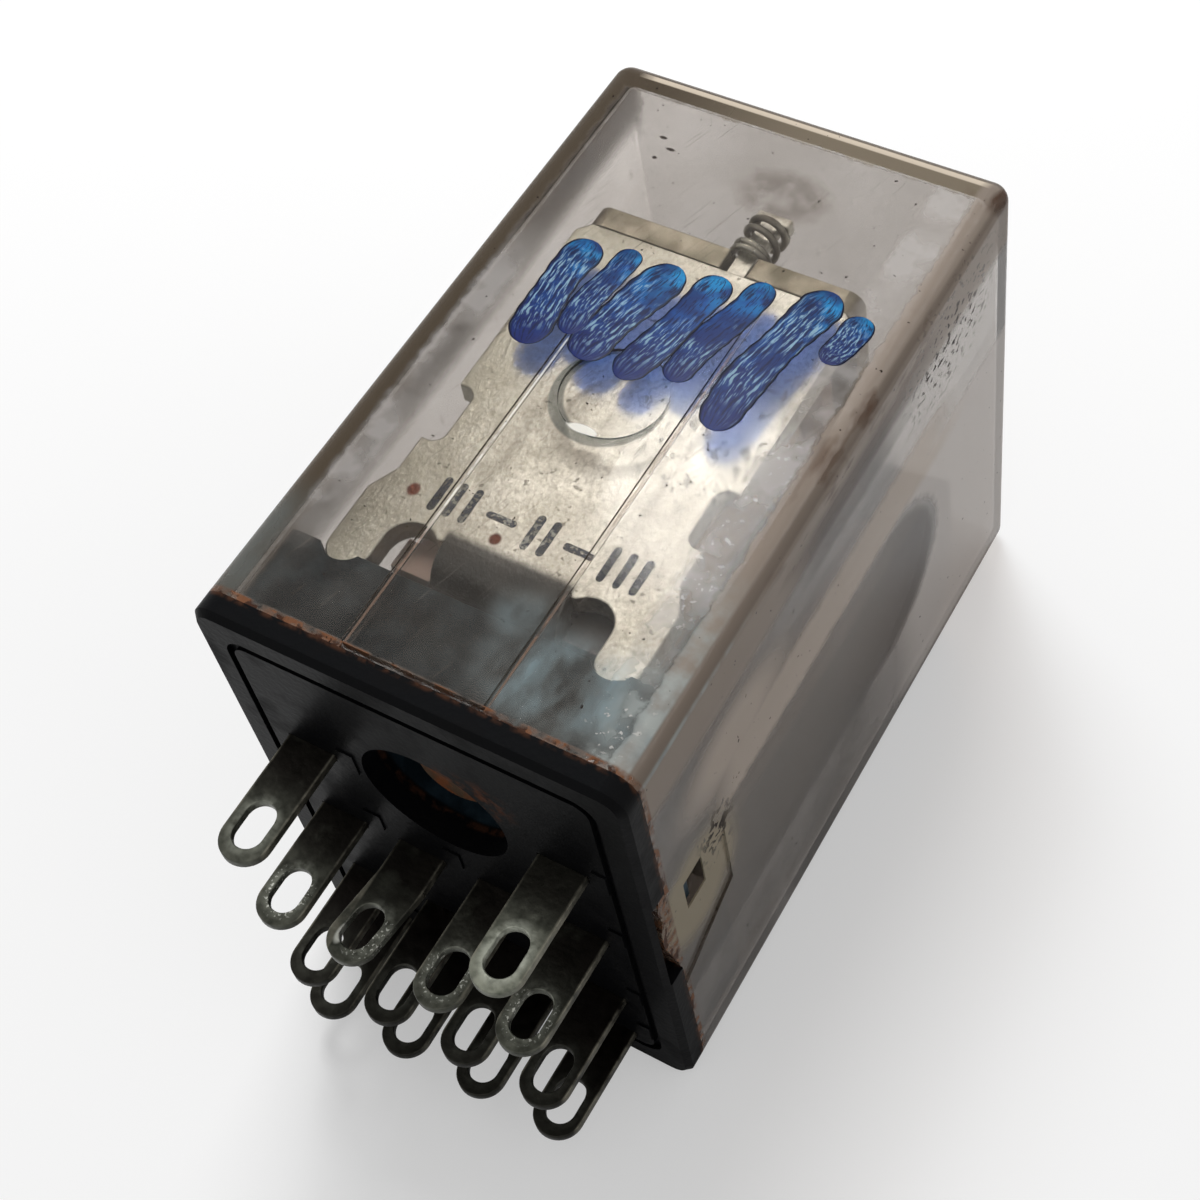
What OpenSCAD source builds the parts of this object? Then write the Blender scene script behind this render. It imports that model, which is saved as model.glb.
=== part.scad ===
// Miniature four-pole changeover relay with flat plug-in blades and a clear push-fit cover.
// It lies on its back: +Y runs from the blades to the cover's top, +Z points out of the coil
// side and +X to the right of someone who looks along +Y. The origin is the centre of the
// seating face, the face of the base that meets the socket. All sizes are in millimetres.

/* [Outline] */
// Height of the cover's top over the seating face, along Y
body_h = 36; // [34:0.25:42]
// Radius of the upright corners of base and cover
corner_r = 1.2; // [0.8:0.1:1.6]

/* [Cover] */
// Thickness of the cover's side walls
cover_wall = 1.0; // [0.8:0.05:1.1]
// Thickness of the cover's top wall
cover_top_t = 1.0; // [0.8:0.1:1.6]
// How far each side wall leans in over the height of the cover
cover_draft = 0.33; // [0.1:0.05:0.4]
// Radius of the edge round the cover's top
top_edge_r = 0.9; // [0.5:0.1:1.2]
// Least room between the cover's inside and the mechanism
cover_room = 0.2; // [0.15:0.05:0.3]
// Diameter of the moulding gate's dish in the front wall
gate_d = 5; // [3:0.25:6]
// Height of the gate's dish over the seating face
gate_y = 17.6; // [12:0.2:24]
// Depth of the gate's dish
gate_depth = 0.2; // [0.1:0.05:0.35]
// Distance of the two fine grooves in the front wall from its centre
groove_x = 3.55; // [2.8:0.05:5]
// Width of a fine groove
groove_w = 0.3; // [0.2:0.05:0.5]
// Depth of a fine groove
groove_depth = 0.15; // [0.1:0.05:0.3]
// Height at which the fine grooves end
groove_top_y = 24; // [20:0.5:30]
// Length of the shallow slot between cover and flange at the front
pry_slot_w = 7.1; // [4:0.1:10]
// Height of the shallow slot between cover and flange
pry_slot_h = 0.25; // [0.15:0.05:0.4]

/* [Snap fit] */
// Width of the snap window in each side wall, along Z
window_w = 2.3; // [1.6:0.1:3]
// Height of the snap window, along Y
window_h = 1.6; // [1.2:0.1:2]
// Height of the window's lower edge over the seating face
window_y = 2.7; // [2.4:0.1:3]
// Distance of the window's centre in front of the relay's middle
window_z = 1.15; // [0:0.05:2]
// Play of the snap nub in its window
window_play = 0.15; // [0.1:0.05:0.3]
// How far the snap nub stands out of the plug
nub_out = 0.7; // [0.4:0.1:0.9]
// Width of the tongue under the snap window, along Z
tongue_w = 7.2; // [5:0.1:9]
// How far the tongue reaches down over the flange
tongue_drop = 0.8; // [0.4:0.05:0.9]
// Play of the tongue in the flange
tongue_play = 0.2; // [0.1:0.05:0.3]
// Depth of the thinned panel round the snap window
panel_depth = 0.15; // [0.1:0.05:0.25]

/* [Base] */
// Thickness of the base's flange
flange_t = 1.25; // [1.1:0.05:1.5]
// Chamfer round the flange's lower edge
flange_chamfer = 0.3; // [0.2:0.05:0.5]
// Height of the plug's top over the seating face
plug_top_y = 5.7; // [5:0.1:6]
// Play between the plug and the cover's foot
plug_play = 0.15; // [0.1:0.05:0.2]
// Diameter of the round well in the seating face
well_d = 7.5; // [7:0.1:8]
// Depth of the round well
well_depth = 2.6; // [2.2:0.1:3]
// Height of the yoke's seat over the seating face
yoke_seat_y = 6.7; // [6.4:0.1:7]
// Diameter of the boss that the yoke sits on
boss_d = 8.6; // [6:0.2:9]
// Distance of the moulded groove from the flange's edge
rim_w = 1.45; // [1:0.05:1.6]
// Width of the moulded groove in the seating face
rim_groove_w = 0.4; // [0.2:0.05:0.5]
// Depth of the moulded groove
rim_groove_depth = 0.3; // [0.1:0.05:0.5]

/* [Blades] */
// Width of a blade
blade_w = 2.5; // [2:0.1:2.8]
// Thickness of a blade
blade_t = 0.5; // [0.4:0.05:0.6]
// Length of a blade below the seating face
blade_l = 6.4; // [5:0.1:8]
// Width of the long eyelet in a blade
eyelet_w = 1.5; // [1:0.1:1.6]
// Length of the long eyelet
eyelet_l = 2.4; // [1.6:0.1:3]
// Distance from a blade's tip to the middle of its eyelet
eyelet_from_tip = 1.9; // [1.7:0.1:2.4]
// How far a blade's full width reaches into the base
shoulder_y = 1.8; // [1.4:0.1:2.2]
// Play of a blade in its slot in the base or the contact block
slot_play = 0.05; // [0.03:0.01:0.1]
// Distance between two columns of blades
col_pitch = 4.4; // [4:0.05:5]
// Distance from an outer pole's axis to the contact block's outer wall
outer_pole_room = 1.82; // [1.7:0.02:2.2]
// Distance from the back face to the row of break blades
nc_row_inset = 2.4; // [2.2:0.05:2.6]
// Distance from the break row to the make row
nc_to_no = 4.0; // [3.8:0.1:4.2]
// Distance from the make row to the common row
no_to_common = 6.4; // [6.2:0.1:6.6]
// Distance from the common row to the coil row
common_to_coil = 6.4; // [6:0.1:6.8]
// Width of a fixed strip inside the relay
strip_w = 2.0; // [1.6:0.1:2.2]
// Width of a coil blade's tail inside the relay
coil_tail_w = 1.4; // [1:0.1:1.6]
// Height of the common blades' tails over the plug
common_tail_h = 4.2; // [3:0.2:5]
// Height of the coil blades' tails over the plug
coil_tail_h = 4.7; // [4.2:0.1:5.5]
// Angle by which the second common blade is bent to the left
bent_blade_deg = 7; // [0:1:8]
// Distance of that bend below the seating face
blade_bend_y = 1.8; // [1.6:0.1:3]

/* [Yoke] */
// Thickness of the yoke's sheet
yoke_t = 1.2; // [1:0.1:1.3]
// Distance from the front face of the relay to the yoke's front
yoke_inset = 1.7; // [1.6:0.05:1.9]
// Width of the yoke's front plate
yoke_w = 14.4; // [13.4:0.2:15]
// Height of the yoke's top edge, where the armature rocks
yoke_top_y = 26.6; // [26:0.1:27.4]
// Outer radius of the yoke's bend
bend_r = 1.5; // [1.3:0.1:1.8]
// Width of the neck between the two relief slots
neck_w = 6.4; // [5.8:0.1:6.8]
// Length of the neck's flat part, between its bend and the wider floor
neck_l = 2; // [1.4:0.1:3]
// Width of a relief slot beside the neck
relief_w = 2.5; // [2.2:0.1:2.7]
// Height of a relief slot's round end
relief_top_y = 8.6; // [8.4:0.1:9.5]
// Width of a leg
leg_w = 2.2; // [1.8:0.1:2.3]
// Height of the legs' round ends
leg_y = 5.2; // [4.6:0.1:5.4]
// Depth of the notch in each side of the plate
side_notch = 0.95; // [0.5:0.05:1.4]
// Height of the notches' lower edge
side_notch_y = 12.6; // [12:0.2:14]
// Length of a notch
side_notch_l = 3.2; // [2.4:0.1:5]
// Room between the yoke's floor and the tail of a coil blade
floor_tail_gap = 0.9; // [0.7:0.05:1.5]
// Distance of the floor's end in front of the coil's back
floor_inset = 1.3; // [0.8:0.1:2]
// Distance of the spring post from the plate's centre
post_x = 0.8; // [-2:0.1:2]
// Width of the spring post
post_w = 0.9; // [0.7:0.05:1]
// Thickness of the spring post
post_t = 0.8; // [0.6:0.05:0.9]
// Height of the post's head over the yoke's top edge
post_l = 3.7; // [3.4:0.1:4.2]
// How far the post's head stands out on each side
post_hook = 0.45; // [0.3:0.05:0.6]

/* [Coil] */
// Depth of the bobbin's flanges, along Z
coil_flange_d = 11; // [10:0.1:12]
// Room between the common blades' tails and the back of the coil
coil_to_common = 0.85; // [0.7:0.05:1.2]
// Width of the bobbin's upper flange, along X
upper_flange_w = 13; // [11:0.2:14]
// Room between the bobbin's lower flange and the tail of a coil blade
flange_tail_gap = 0.5; // [0.3:0.05:0.8]
// Thickness of a bobbin flange
coil_flange_t = 1.0; // [0.7:0.1:1.2]
// Distance of the winding inside the edge of the flanges
winding_inset = 0.3; // [0.3:0.05:0.8]
// Thickness of the tape round the winding
tape_t = 0.2; // [0.1:0.05:0.25]
// Diameter of the core
core_d = 5; // [4:0.1:5.4]
// Diameter of the core's pole face
pole_d = 7.6; // [6.4:0.1:8.4]
// Thickness of the pole face
pole_t = 1.0; // [0.8:0.1:1.4]
// Diameter of the core's spigot through yoke and base
spigot_d = 3; // [2.4:0.1:3.2]
// Diameter of the spigot's staked head
staked_head_d = 4.2; // [3.8:0.1:4.8]
// Height of the spigot's staked head
staked_head_t = 0.7; // [0.5:0.05:0.9]
// Diameter of the washer in the well
washer_d = 6.2; // [5.6:0.1:6.6]
// Thickness of the washer in the well
washer_t = 0.5; // [0.4:0.05:0.7]
// Wall of the bobbin's tube
bobbin_wall = 0.65; // [0.5:0.05:0.8]
// Diameter of a coil lead
coil_lead_d = 0.3; // [0.25:0.05:0.4]

/* [Armature] */
// Thickness of the armature
armature_t = 1.2; // [1:0.1:1.4]
// Width of the armature over the coil
armature_w = 14; // [12:0.2:14.4]
// Width of the armature's tail in the carrier
tail_w = 9; // [7:0.2:12]
// Length of the armature's tail in the carrier
tail_l = 2; // [1.5:0.1:2.4]
// Angle through which the coil pulls the armature
travel_deg = 2.8; // [2:0.1:3]
// Depth of the carrier, along Z
carrier_d = 3.4; // [3:0.1:3.8]
// Height of the carrier over the armature
carrier_over = 0.8; // [0.5:0.1:1.2]
// Height of the carrier below the armature
carrier_under = 1.35; // [1.1:0.05:1.5]
// Outer radius of the return spring
return_spring_r = 1.1; // [1.05:0.05:1.15]
// Wire of the return spring
return_wire_d = 0.34; // [0.28:0.02:0.38]
// Turns of the return spring
return_turns = 4; // [3:1:5]

/* [Contacts] */
// Distance from the break row to the contacts' axis
contact_reach = 2.1; // [2:0.05:2.3]
// Diameter of a contact's head
contact_d = 1.9; // [1.5:0.1:2]
// Thickness of a contact's head
contact_t = 0.5; // [0.4:0.05:0.6]
// Diameter of a contact's shank
shank_d = 0.9; // [0.6:0.1:1.1]
// Width of a moving spring
moving_spring_w = 1.9; // [1.6:0.1:2]
// Thickness of a moving spring
moving_spring_t = 0.2; // [0.12:0.02:0.24]
// Distance from the armature's underside to the middle of a moving spring
spring_drop = 0.53; // [0.45:0.01:0.6]
// Length of a moving spring's tag below the carrier
tag_l = 0.8; // [0.6:0.1:1]
// Distance of the tag behind the carrier's front
tag_inset = 1.1; // [1:0.05:1.4]
// How far an arm or a moving spring reaches past its contact
tip_margin = 0.15; // [0.1:0.05:0.3]
// Diameter of a common lead
common_lead_d = 0.8; // [0.6:0.05:0.9]

/* [Contact block] */
// Height of the block's solid foot over the plug
block_foot_h = 6.3; // [4:0.1:9]
// Distance from the make row to the block's front
block_front = 2.2; // [1.6:0.1:3]
// Height of the barriers' tops over the seating face
barrier_top_y = 30; // [29:0.25:32]
// Thickness of a barrier between two poles
barrier_t = 0.8; // [0.6:0.05:1]
// Thickness of the block's outer walls
side_wall_t = 0.8; // [0.6:0.05:0.85]
// Radius of the barriers' upper corners
barrier_r = 2.4; // [1:0.1:3]
// Height of the outer walls' wider head
wall_head_h = 8.4; // [7:0.2:11]
// Height of the slope under that head
wall_slope_h = 2.6; // [1:0.2:3.6]
// How far an outer wall reaches in front of the coil's back
wall_reach = 0.6; // [0.2:0.1:1]
// How far its head reaches in front of the coil's back
wall_head_reach = 1.9; // [1:0.1:2.6]

/* [Hidden] */
$fn = 48;

// Reach of a cut past the face that it opens
over = 0.5;
// Clearance of pieces that are pressed or moulded together
seat_gap = 0.02;
// Running clearance of the armature on the yoke, and of the parts that it meets
run_gap = 0.03;
// Room between a soldered lead and the tail that it lies on
lead_gap = 0.05;
// Room between the yoke's plate and the coil behind it
coil_front_gap = 0.2;
// Facets of the round pieces inside a hull
hull_fn = 32;

// Width and depth of the relay: what the cover holds, side by side and front to back
body_w = 3 * col_pitch
    + 2 * (outer_pole_room + side_wall_t + cover_room + cover_draft + cover_wall);
body_d = nc_row_inset + nc_to_no + no_to_common + blade_t / 2 + coil_to_common
    + coil_flange_d + coil_front_gap + yoke_t + yoke_inset;

// Planes of the cover and the base
front_z = body_d / 2;
cavity_half_w = body_w / 2 - cover_wall;
cavity_half_d = body_d / 2 - cover_wall;
inner_half_w = cavity_half_w - cover_draft - cover_room;
inner_half_d = cavity_half_d - cover_draft - cover_room;
plug_half_w = cavity_half_w - plug_play;
plug_half_d = cavity_half_d - plug_play;
draft_deg = atan(cover_draft / (body_h - flange_t));

// Planes of the yoke and the coil
yoke_front_z = front_z - yoke_inset;
yoke_back_z = yoke_front_z - yoke_t;
yoke_floor_y = yoke_seat_y + yoke_t;
coil_z = yoke_back_z - coil_front_gap - coil_flange_d / 2;
coil_back_z = coil_z - coil_flange_d / 2;
hinge_y = yoke_top_y + run_gap;
hinge_z = yoke_back_z;
pole_dip = sin(travel_deg) * (hinge_z - coil_z + pole_d / 2);
pole_y = hinge_y - pole_dip - run_gap;
bobbin_y = yoke_floor_y + seat_gap;
bobbin_top_y = pole_y - pole_t - seat_gap;
winding_y = bobbin_y + coil_flange_t;
winding_top_y = bobbin_top_y - coil_flange_t;
bobbin_bore_r = core_d / 2 + seat_gap;
tube_r = bobbin_bore_r + bobbin_wall;

// Rows and columns of the blades
nc_row_z = -body_d / 2 + nc_row_inset;
no_row_z = nc_row_z + nc_to_no;
common_row_z = no_row_z + no_to_common;
coil_row_z = common_row_z + common_to_coil;
function pole_x(i) = (i - 2.5) * col_pitch;
coil_terminal_x = 1.5 * col_pitch;

// Widths that fit between the tails of the two coil blades
coil_tail_x = coil_terminal_x - coil_tail_w / 2;
yoke_floor_w = 2 * (coil_tail_x - floor_tail_gap);
lower_flange_w = 2 * (coil_tail_x - flange_tail_gap);
winding_r = min(lower_flange_w, coil_flange_d) / 2 - winding_inset;

// Armature, carrier and moving springs
armature_top_y = hinge_y + armature_t;
carrier_gap = 0.4;
carrier_front_z = coil_back_z - carrier_gap;
carrier_back_z = carrier_front_z - carrier_d;
side_wall_x = inner_half_w - side_wall_t;
carrier_side_gap = 0.3;
carrier_half_w = side_wall_x - carrier_side_gap;
spring_y = hinge_y - spring_drop;
tag_z = carrier_front_z - tag_inset;
spring_bend_r = 0.4;
carrier_bottom_y = hinge_y - carrier_under;
tag_bottom_y = carrier_bottom_y - tag_l;

// Contacts: a moving contact rests on the break contact and swings down to the make contact
contact_z = nc_row_z + contact_reach;
contact_half_t = moving_spring_t / 2 + contact_t;
nc_face_y = spring_y + contact_half_t + run_gap;
nc_arm_y = nc_face_y + contact_t;
contact_edge = hinge_z - contact_z + contact_d / 2;
contact_fall = sin(travel_deg) * contact_edge
    + (1 - cos(travel_deg)) * (spring_drop + contact_half_t);
no_face_y = spring_y - contact_half_t - contact_fall - run_gap;
no_arm_top_y = no_face_y - contact_t;
arm_tip = contact_d / 2 + tip_margin;
strip_bend_r = 1.0;

// Contact block
block_back_z = -inner_half_d;
block_front_z = no_row_z + block_front;
block_top_y = plug_top_y + block_foot_h;
barrier_gap = 0.6;
barrier_front_z = carrier_back_z - barrier_gap;
side_wall_front_z = coil_back_z + wall_reach;
side_wall_lip_z = coil_back_z + wall_head_reach;

// A flat outline in XY, drawn thick along Z about its own plane
module along_z(t) {
    linear_extrude(height = t, center = true) children();
}

// A flat outline with Y first and Z second, drawn along +X
module along_x(t) {
    rotate([90, 0, 90]) linear_extrude(height = t) children();
}

// A flat outline with X first and Z second, drawn along Y from y0 to y0 + t
module along_y(y0, t) {
    translate([0, y0 + t, 0]) rotate([90, 0, 0]) linear_extrude(height = t) children();
}

// A round bar along Y from y0 to y1
module rod_y(y0, y1, r) {
    translate([0, y0, 0]) rotate([-90, 0, 0]) cylinder(h = y1 - y0, r = r);
}

// A cone along Y from y0 to y1, of radius r0 at y0 and r1 at y1
module cone_y(y0, y1, r0, r1) {
    translate([0, y0, 0]) rotate([-90, 0, 0]) cylinder(h = y1 - y0, r1 = r0, r2 = r1);
}

// A rectangle about the origin with round corners
module rounded_rect(w, l, r) {
    square([w - 2 * r, l], center = true);
    square([w, l - 2 * r], center = true);
    for (sx = [-1, 1], sy = [-1, 1])
        translate([sx * (w / 2 - r), sy * (l / 2 - r)]) circle(r = r);
}

// A long hole about the origin, with its length along Y
module long_hole(w, l) {
    square([w, l - w], center = true);
    for (s = [-1, 1]) translate([0, s * (l - w) / 2]) circle(d = w);
}

// A slab from y = 0 to t with round upright corners and a chamfer round its lower face
module chamfered_slab(w, d, t, r, c) {
    for (sx = [-1, 1], sz = [-1, 1]) translate([sx * (w / 2 - r), 0, sz * (d / 2 - r)]) {
        cone_y(0, c, r - c, r);
        rod_y(c, t, r);
    }
    translate([-w / 2 + r, 0, 0]) along_x(w - 2 * r) edge_profile(d, t, c);
    rotate([0, 90, 0]) translate([-d / 2 + r, 0, 0]) along_x(d - 2 * r) edge_profile(w, t, c);
}

// Half-and-half section of the slab: height first, width second
module edge_profile(width, t, c) {
    half = width / 2;
    polygon([[0, c - half], [c, -half], [t, -half], [t, half], [c, half], [0, half - c]]);
}

// One closed tube of radius r along a list of points; ref is never parallel to the path
function unit(v) = v / norm(v);
function tangent(p, k) = unit(p[min(k + 1, len(p) - 1)] - p[max(k - 1, 0)]);
function side_dir(t, ref) = unit(ref - (ref * t) * t);
function tube_ring(p, k, r, sides, ref) =
    let (t = tangent(p, k), a = side_dir(t, ref), b = cross(t, a))
    [for (j = [0 : sides - 1]) p[k] + r * (cos(360 * j / sides) * a + sin(360 * j / sides) * b)];
module tube(p, r, sides, ref) {
    rings = [for (k = [0 : len(p) - 1]) each tube_ring(p, k, r, sides, ref)];
    last = (len(p) - 1) * sides;
    walls = [for (k = [0 : len(p) - 2], j = [0 : sides - 1])
        let (a = k * sides + j, b = k * sides + (j + 1) % sides)
        each [[a, a + sides, b], [b, a + sides, b + sides]]];
    ends = [[for (j = [0 : sides - 1]) j], [for (j = [sides - 1 : -1 : 0]) last + j]];
    polyhedron(points = rings, faces = concat(walls, ends));
}

// A smooth path through a few points, with n steps between each two
function spline_point(a, b, c, d, u) = 0.5 * (2 * b + (c - a) * u
    + (2 * a - 5 * b + 4 * c - d) * u * u + (3 * b - a - 3 * c + d) * u * u * u);
function smooth_path(p, n) = let (last = len(p) - 1) concat(
    [for (k = [0 : last - 1], s = [0 : n - 1])
        spline_point(p[max(k - 1, 0)], p[k], p[k + 1], p[min(k + 2, last)], s / n)],
    [p[last]]);

// Outline of the blade that goes into the socket, from its tip to its shoulder
module blade_outline(from_y) {
    difference() {
        union() {
            translate([0, blade_w / 2 - blade_l]) circle(d = blade_w);
            translate([-blade_w / 2, blade_w / 2 - blade_l])
                square([blade_w, blade_l - blade_w / 2 + from_y]);
        }
        translate([0, eyelet_from_tip - blade_l]) long_hole(eyelet_w, eyelet_l);
    }
}

// A straight terminal: blade below, tail above
module flat_terminal(tail_width, tail_top_y) {
    along_z(blade_t) {
        blade_outline(shoulder_y);
        translate([-tail_width / 2, 0]) square([tail_width, tail_top_y]);
    }
}

// Section of a strip that rises at z = 0 to its outer face at top_y and bends over to dir * Z
module bent_strip_section(top_y, reach, dir) {
    r = strip_bend_r;
    mirror([0, dir > 0 ? 0 : 1]) translate([0, -blade_t / 2]) {
        square([top_y - r, blade_t]);
        translate([top_y - blade_t, r]) square([blade_t, reach + blade_t / 2 - r]);
        intersection() {
            translate([top_y - r, r]) difference() {
                circle(r = r);
                circle(r = r - blade_t);
            }
            translate([top_y - r, 0]) square([r, r]);
        }
    }
}

// A fixed contact terminal: blade below, a strip above that carries the contact on its arm
module bent_terminal(top_y, reach, dir) {
    along_z(blade_t) blade_outline(shoulder_y);
    difference() {
        translate([-strip_w / 2, 0, 0]) along_x(strip_w) bent_strip_section(top_y, reach, dir);
        translate([0, top_y, dir * (reach - arm_tip)])
            rod_y(-blade_t - over, over, shank_d / 2 + seat_gap);
    }
}

module common_terminal(i) {
    color("#a39c86") translate([pole_x(i), 0, common_row_z]) along_z(blade_t) {
        tail_top = plug_top_y + common_tail_h;
        difference() {
            translate([-strip_w / 2, 0]) square([strip_w, tail_top]);
            translate([0, tail_top - 1]) circle(r = 0.4);
        }
        if (i == 2) {
            // It is straight in its slot and bent a little way below the seating face
            joint = 0.2;
            translate([0, -blade_bend_y]) rotate(-bent_blade_deg) translate([0, blade_bend_y])
                blade_outline(joint - blade_bend_y);
            translate([-blade_w / 2, -blade_bend_y]) square([blade_w, shoulder_y + blade_bend_y]);
        } else {
            blade_outline(shoulder_y);
        }
    }
}

module coil_terminal(side) {
    color("#9c9a86") translate([side * coil_terminal_x, 0, coil_row_z])
        flat_terminal(coil_tail_w, plug_top_y + coil_tail_h);
}

module no_terminal(i) {
    color("#a39c86") translate([pole_x(i), 0, no_row_z])
        bent_terminal(no_arm_top_y, no_row_z - contact_z + arm_tip, -1);
}

module nc_terminal(i) {
    color("#a39c86") translate([pole_x(i), 0, nc_row_z])
        bent_terminal(nc_arm_y + blade_t, contact_z - nc_row_z + arm_tip, 1);
}

// A rivet-shaped contact on a fixed arm: its face at y = 0 looks to dir * Y
module fixed_contact(dir) {
    mirror([0, dir > 0 ? 0 : 1, 0]) {
        edge = 0.15;
        cone_y(-edge, 0, contact_d / 2, contact_d / 2 - edge);
        rod_y(-contact_t, -edge, contact_d / 2);
        rod_y(-contact_t - blade_t, -contact_t, shank_d / 2);
        rod_y(-contact_t - blade_t - edge, -contact_t - blade_t, shank_d / 2 + edge);
    }
}

module no_contact(i) {
    color("#c9c7bd") translate([pole_x(i), no_face_y, contact_z]) fixed_contact(1);
}

module nc_contact(i) {
    color("#c9c7bd") translate([pole_x(i), nc_face_y, contact_z]) fixed_contact(-1);
}

// Slots for the fourteen terminals, cut along Y from y0 to y1
module blade_slots(w, y0, y1) {
    size = [w + 2 * slot_play, y1 - y0, blade_t + 2 * slot_play];
    for (i = [1 : 4], z = [common_row_z, no_row_z, nc_row_z])
        translate([pole_x(i), (y0 + y1) / 2, z]) cube(size, center = true);
}
module coil_slots(w, y0, y1) {
    size = [w + 2 * slot_play, y1 - y0, blade_t + 2 * slot_play];
    for (s = [-1, 1])
        translate([s * coil_terminal_x, (y0 + y1) / 2, coil_row_z]) cube(size, center = true);
}

// The wedge that the cover's window snaps over, on the right side
module snap_nub() {
    root = plug_half_w - 0.3;
    low = window_y + window_play;
    high = window_y + window_h - window_play;
    translate([0, 0, window_z]) along_z(window_w - 2 * window_play)
        polygon([[root, low], [plug_half_w + nub_out, low], [plug_half_w + nub_out, low + 0.45],
            [plug_half_w, high], [root, high]]);
}

// The pocket in the flange's side that takes the cover's tongue, on the right side
module tongue_pocket() {
    depth = cover_wall + tongue_play / 2;
    translate([body_w / 2 - depth, flange_t - tongue_drop - tongue_play,
        window_z - 0.55 - tongue_w / 2 - tongue_play])
        cube([depth + over, tongue_drop + tongue_play + over, tongue_w + 2 * tongue_play]);
}

// The small raised plates beside the blades, where the base has its terminal numbers
module number_plates() {
    for (i = [1 : 4], z = [common_row_z, no_row_z, nc_row_z])
        translate([pole_x(i) + blade_w / 2 + 0.35, -0.1, z + 0.7]) cube([0.9, 0.2, 1.3]);
    for (x = [-coil_terminal_x, coil_terminal_x])
        translate([x + blade_w / 2 + 0.35, -0.1, coil_row_z - 0.4]) cube([0.9, 0.2, 1.6]);
}

module base() {
    color("#1b1c1e") difference() {
        union() {
            chamfered_slab(body_w, body_d, flange_t, corner_r, flange_chamfer);
            along_y(flange_t - over, plug_top_y - flange_t + over)
                rounded_rect(2 * plug_half_w, 2 * plug_half_d, corner_r - 0.5);
            translate([0, 0, coil_z]) rod_y(plug_top_y - over, yoke_seat_y, boss_d / 2);
            number_plates();
            snap_nub();
            mirror([1, 0, 0]) snap_nub();
        }
        // The well in the seating face and the hole for the core's spigot
        translate([0, 0, coil_z]) {
            rod_y(-over, well_depth, well_d / 2);
            rod_y(0, yoke_seat_y + over, spigot_d / 2 + slot_play);
        }
        // Slots for the terminals, wide up to their shoulders
        blade_slots(blade_w, -over, shoulder_y + slot_play);
        blade_slots(strip_w, 0, plug_top_y + over);
        coil_slots(blade_w, -over, shoulder_y + slot_play);
        coil_slots(coil_tail_w, 0, yoke_seat_y + over);
        // Pockets for the yoke's legs, open to the front
        for (s = [-1, 1])
            translate([s * (neck_w / 2 + relief_w + leg_w / 2), 0, 0]) leg_pocket();
        tongue_pocket();
        mirror([1, 0, 0]) tongue_pocket();
        // The moulded groove round the seating face
        along_y(-over, over + rim_groove_depth) difference() {
            rounded_rect(body_w - 2 * rim_w, body_d - 2 * rim_w, corner_r);
            rounded_rect(body_w - 2 * rim_w - 2 * rim_groove_w,
                body_d - 2 * rim_w - 2 * rim_groove_w, corner_r - rim_groove_w);
        }
    }
}

// Room round one leg of the yoke
module leg_pocket() {
    w = leg_w + 2 * slot_play;
    back_z = yoke_back_z - slot_play;
    translate([0, 0, back_z]) linear_extrude(height = front_z - back_z) {
        translate([0, leg_y + leg_w / 2]) circle(d = w);
        translate([-w / 2, leg_y + leg_w / 2]) square([w, plug_top_y]);
    }
}

// Block whose sides lean in by draft towards its top, with round upright and top edges
module drafted_block(w, d, y0, y1, r, top_r, draft) {
    thin = 0.01;
    hull() {
        for (sx = [-1, 1], sz = [-1, 1]) {
            translate([sx * (w / 2 - r), 0, sz * (d / 2 - r)]) rod_y(y0, y0 + thin, r);
            translate([sx * (w / 2 - draft - top_r), y1 - top_r, sz * (d / 2 - draft - top_r)])
                sphere(r = top_r);
        }
        translate([0, y1 - thin / 2, 0])
            cube([w - 2 * draft - 2 * top_r, thin, d - 2 * draft - 2 * top_r], center = true);
    }
}

// The tongue under the right window lost its rear half: this is what is left of it
module broken_tongue_outline() {
    polygon([[flange_t + 0.1, 4.2], [0.75, 4.2], [0.55, 3.3], [0.8, 2.6], [0.5, 1.7], [0.45, 0.9],
        [0.5, 0.1], [0.85, -1.2], [1.1, -2.4], [flange_t + 0.1, -3]]);
}

module whole_tongue_outline() {
    translate([flange_t - tongue_drop, window_z - 0.55 - tongue_w / 2])
        square([tongue_drop + 0.1, tongue_w]);
}

// The thinned panel round the right window, as wide at its foot as the tongue and a bit more
module snap_panel() {
    foot = tongue_w / 2 + 1.2;
    head = tongue_w / 2 - 1.3;
    mid = window_z - 1.6;
    panel_top = window_y + window_h + 1.8;
    translate([body_w / 2, flange_t, 0]) rotate([0, 0, draft_deg]) translate([-panel_depth, 0, 0])
        along_x(over) polygon([[-over, mid - foot], [panel_top - flange_t, mid - head],
            [panel_top - flange_t, mid + head], [-over, mid + foot]]);
}

// Places a child in the front wall's plane: Y runs up the wall, z = 0 is its outer face
module on_front_wall() {
    translate([0, flange_t, front_z]) rotate([-draft_deg, 0, 0]) children();
}

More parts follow.
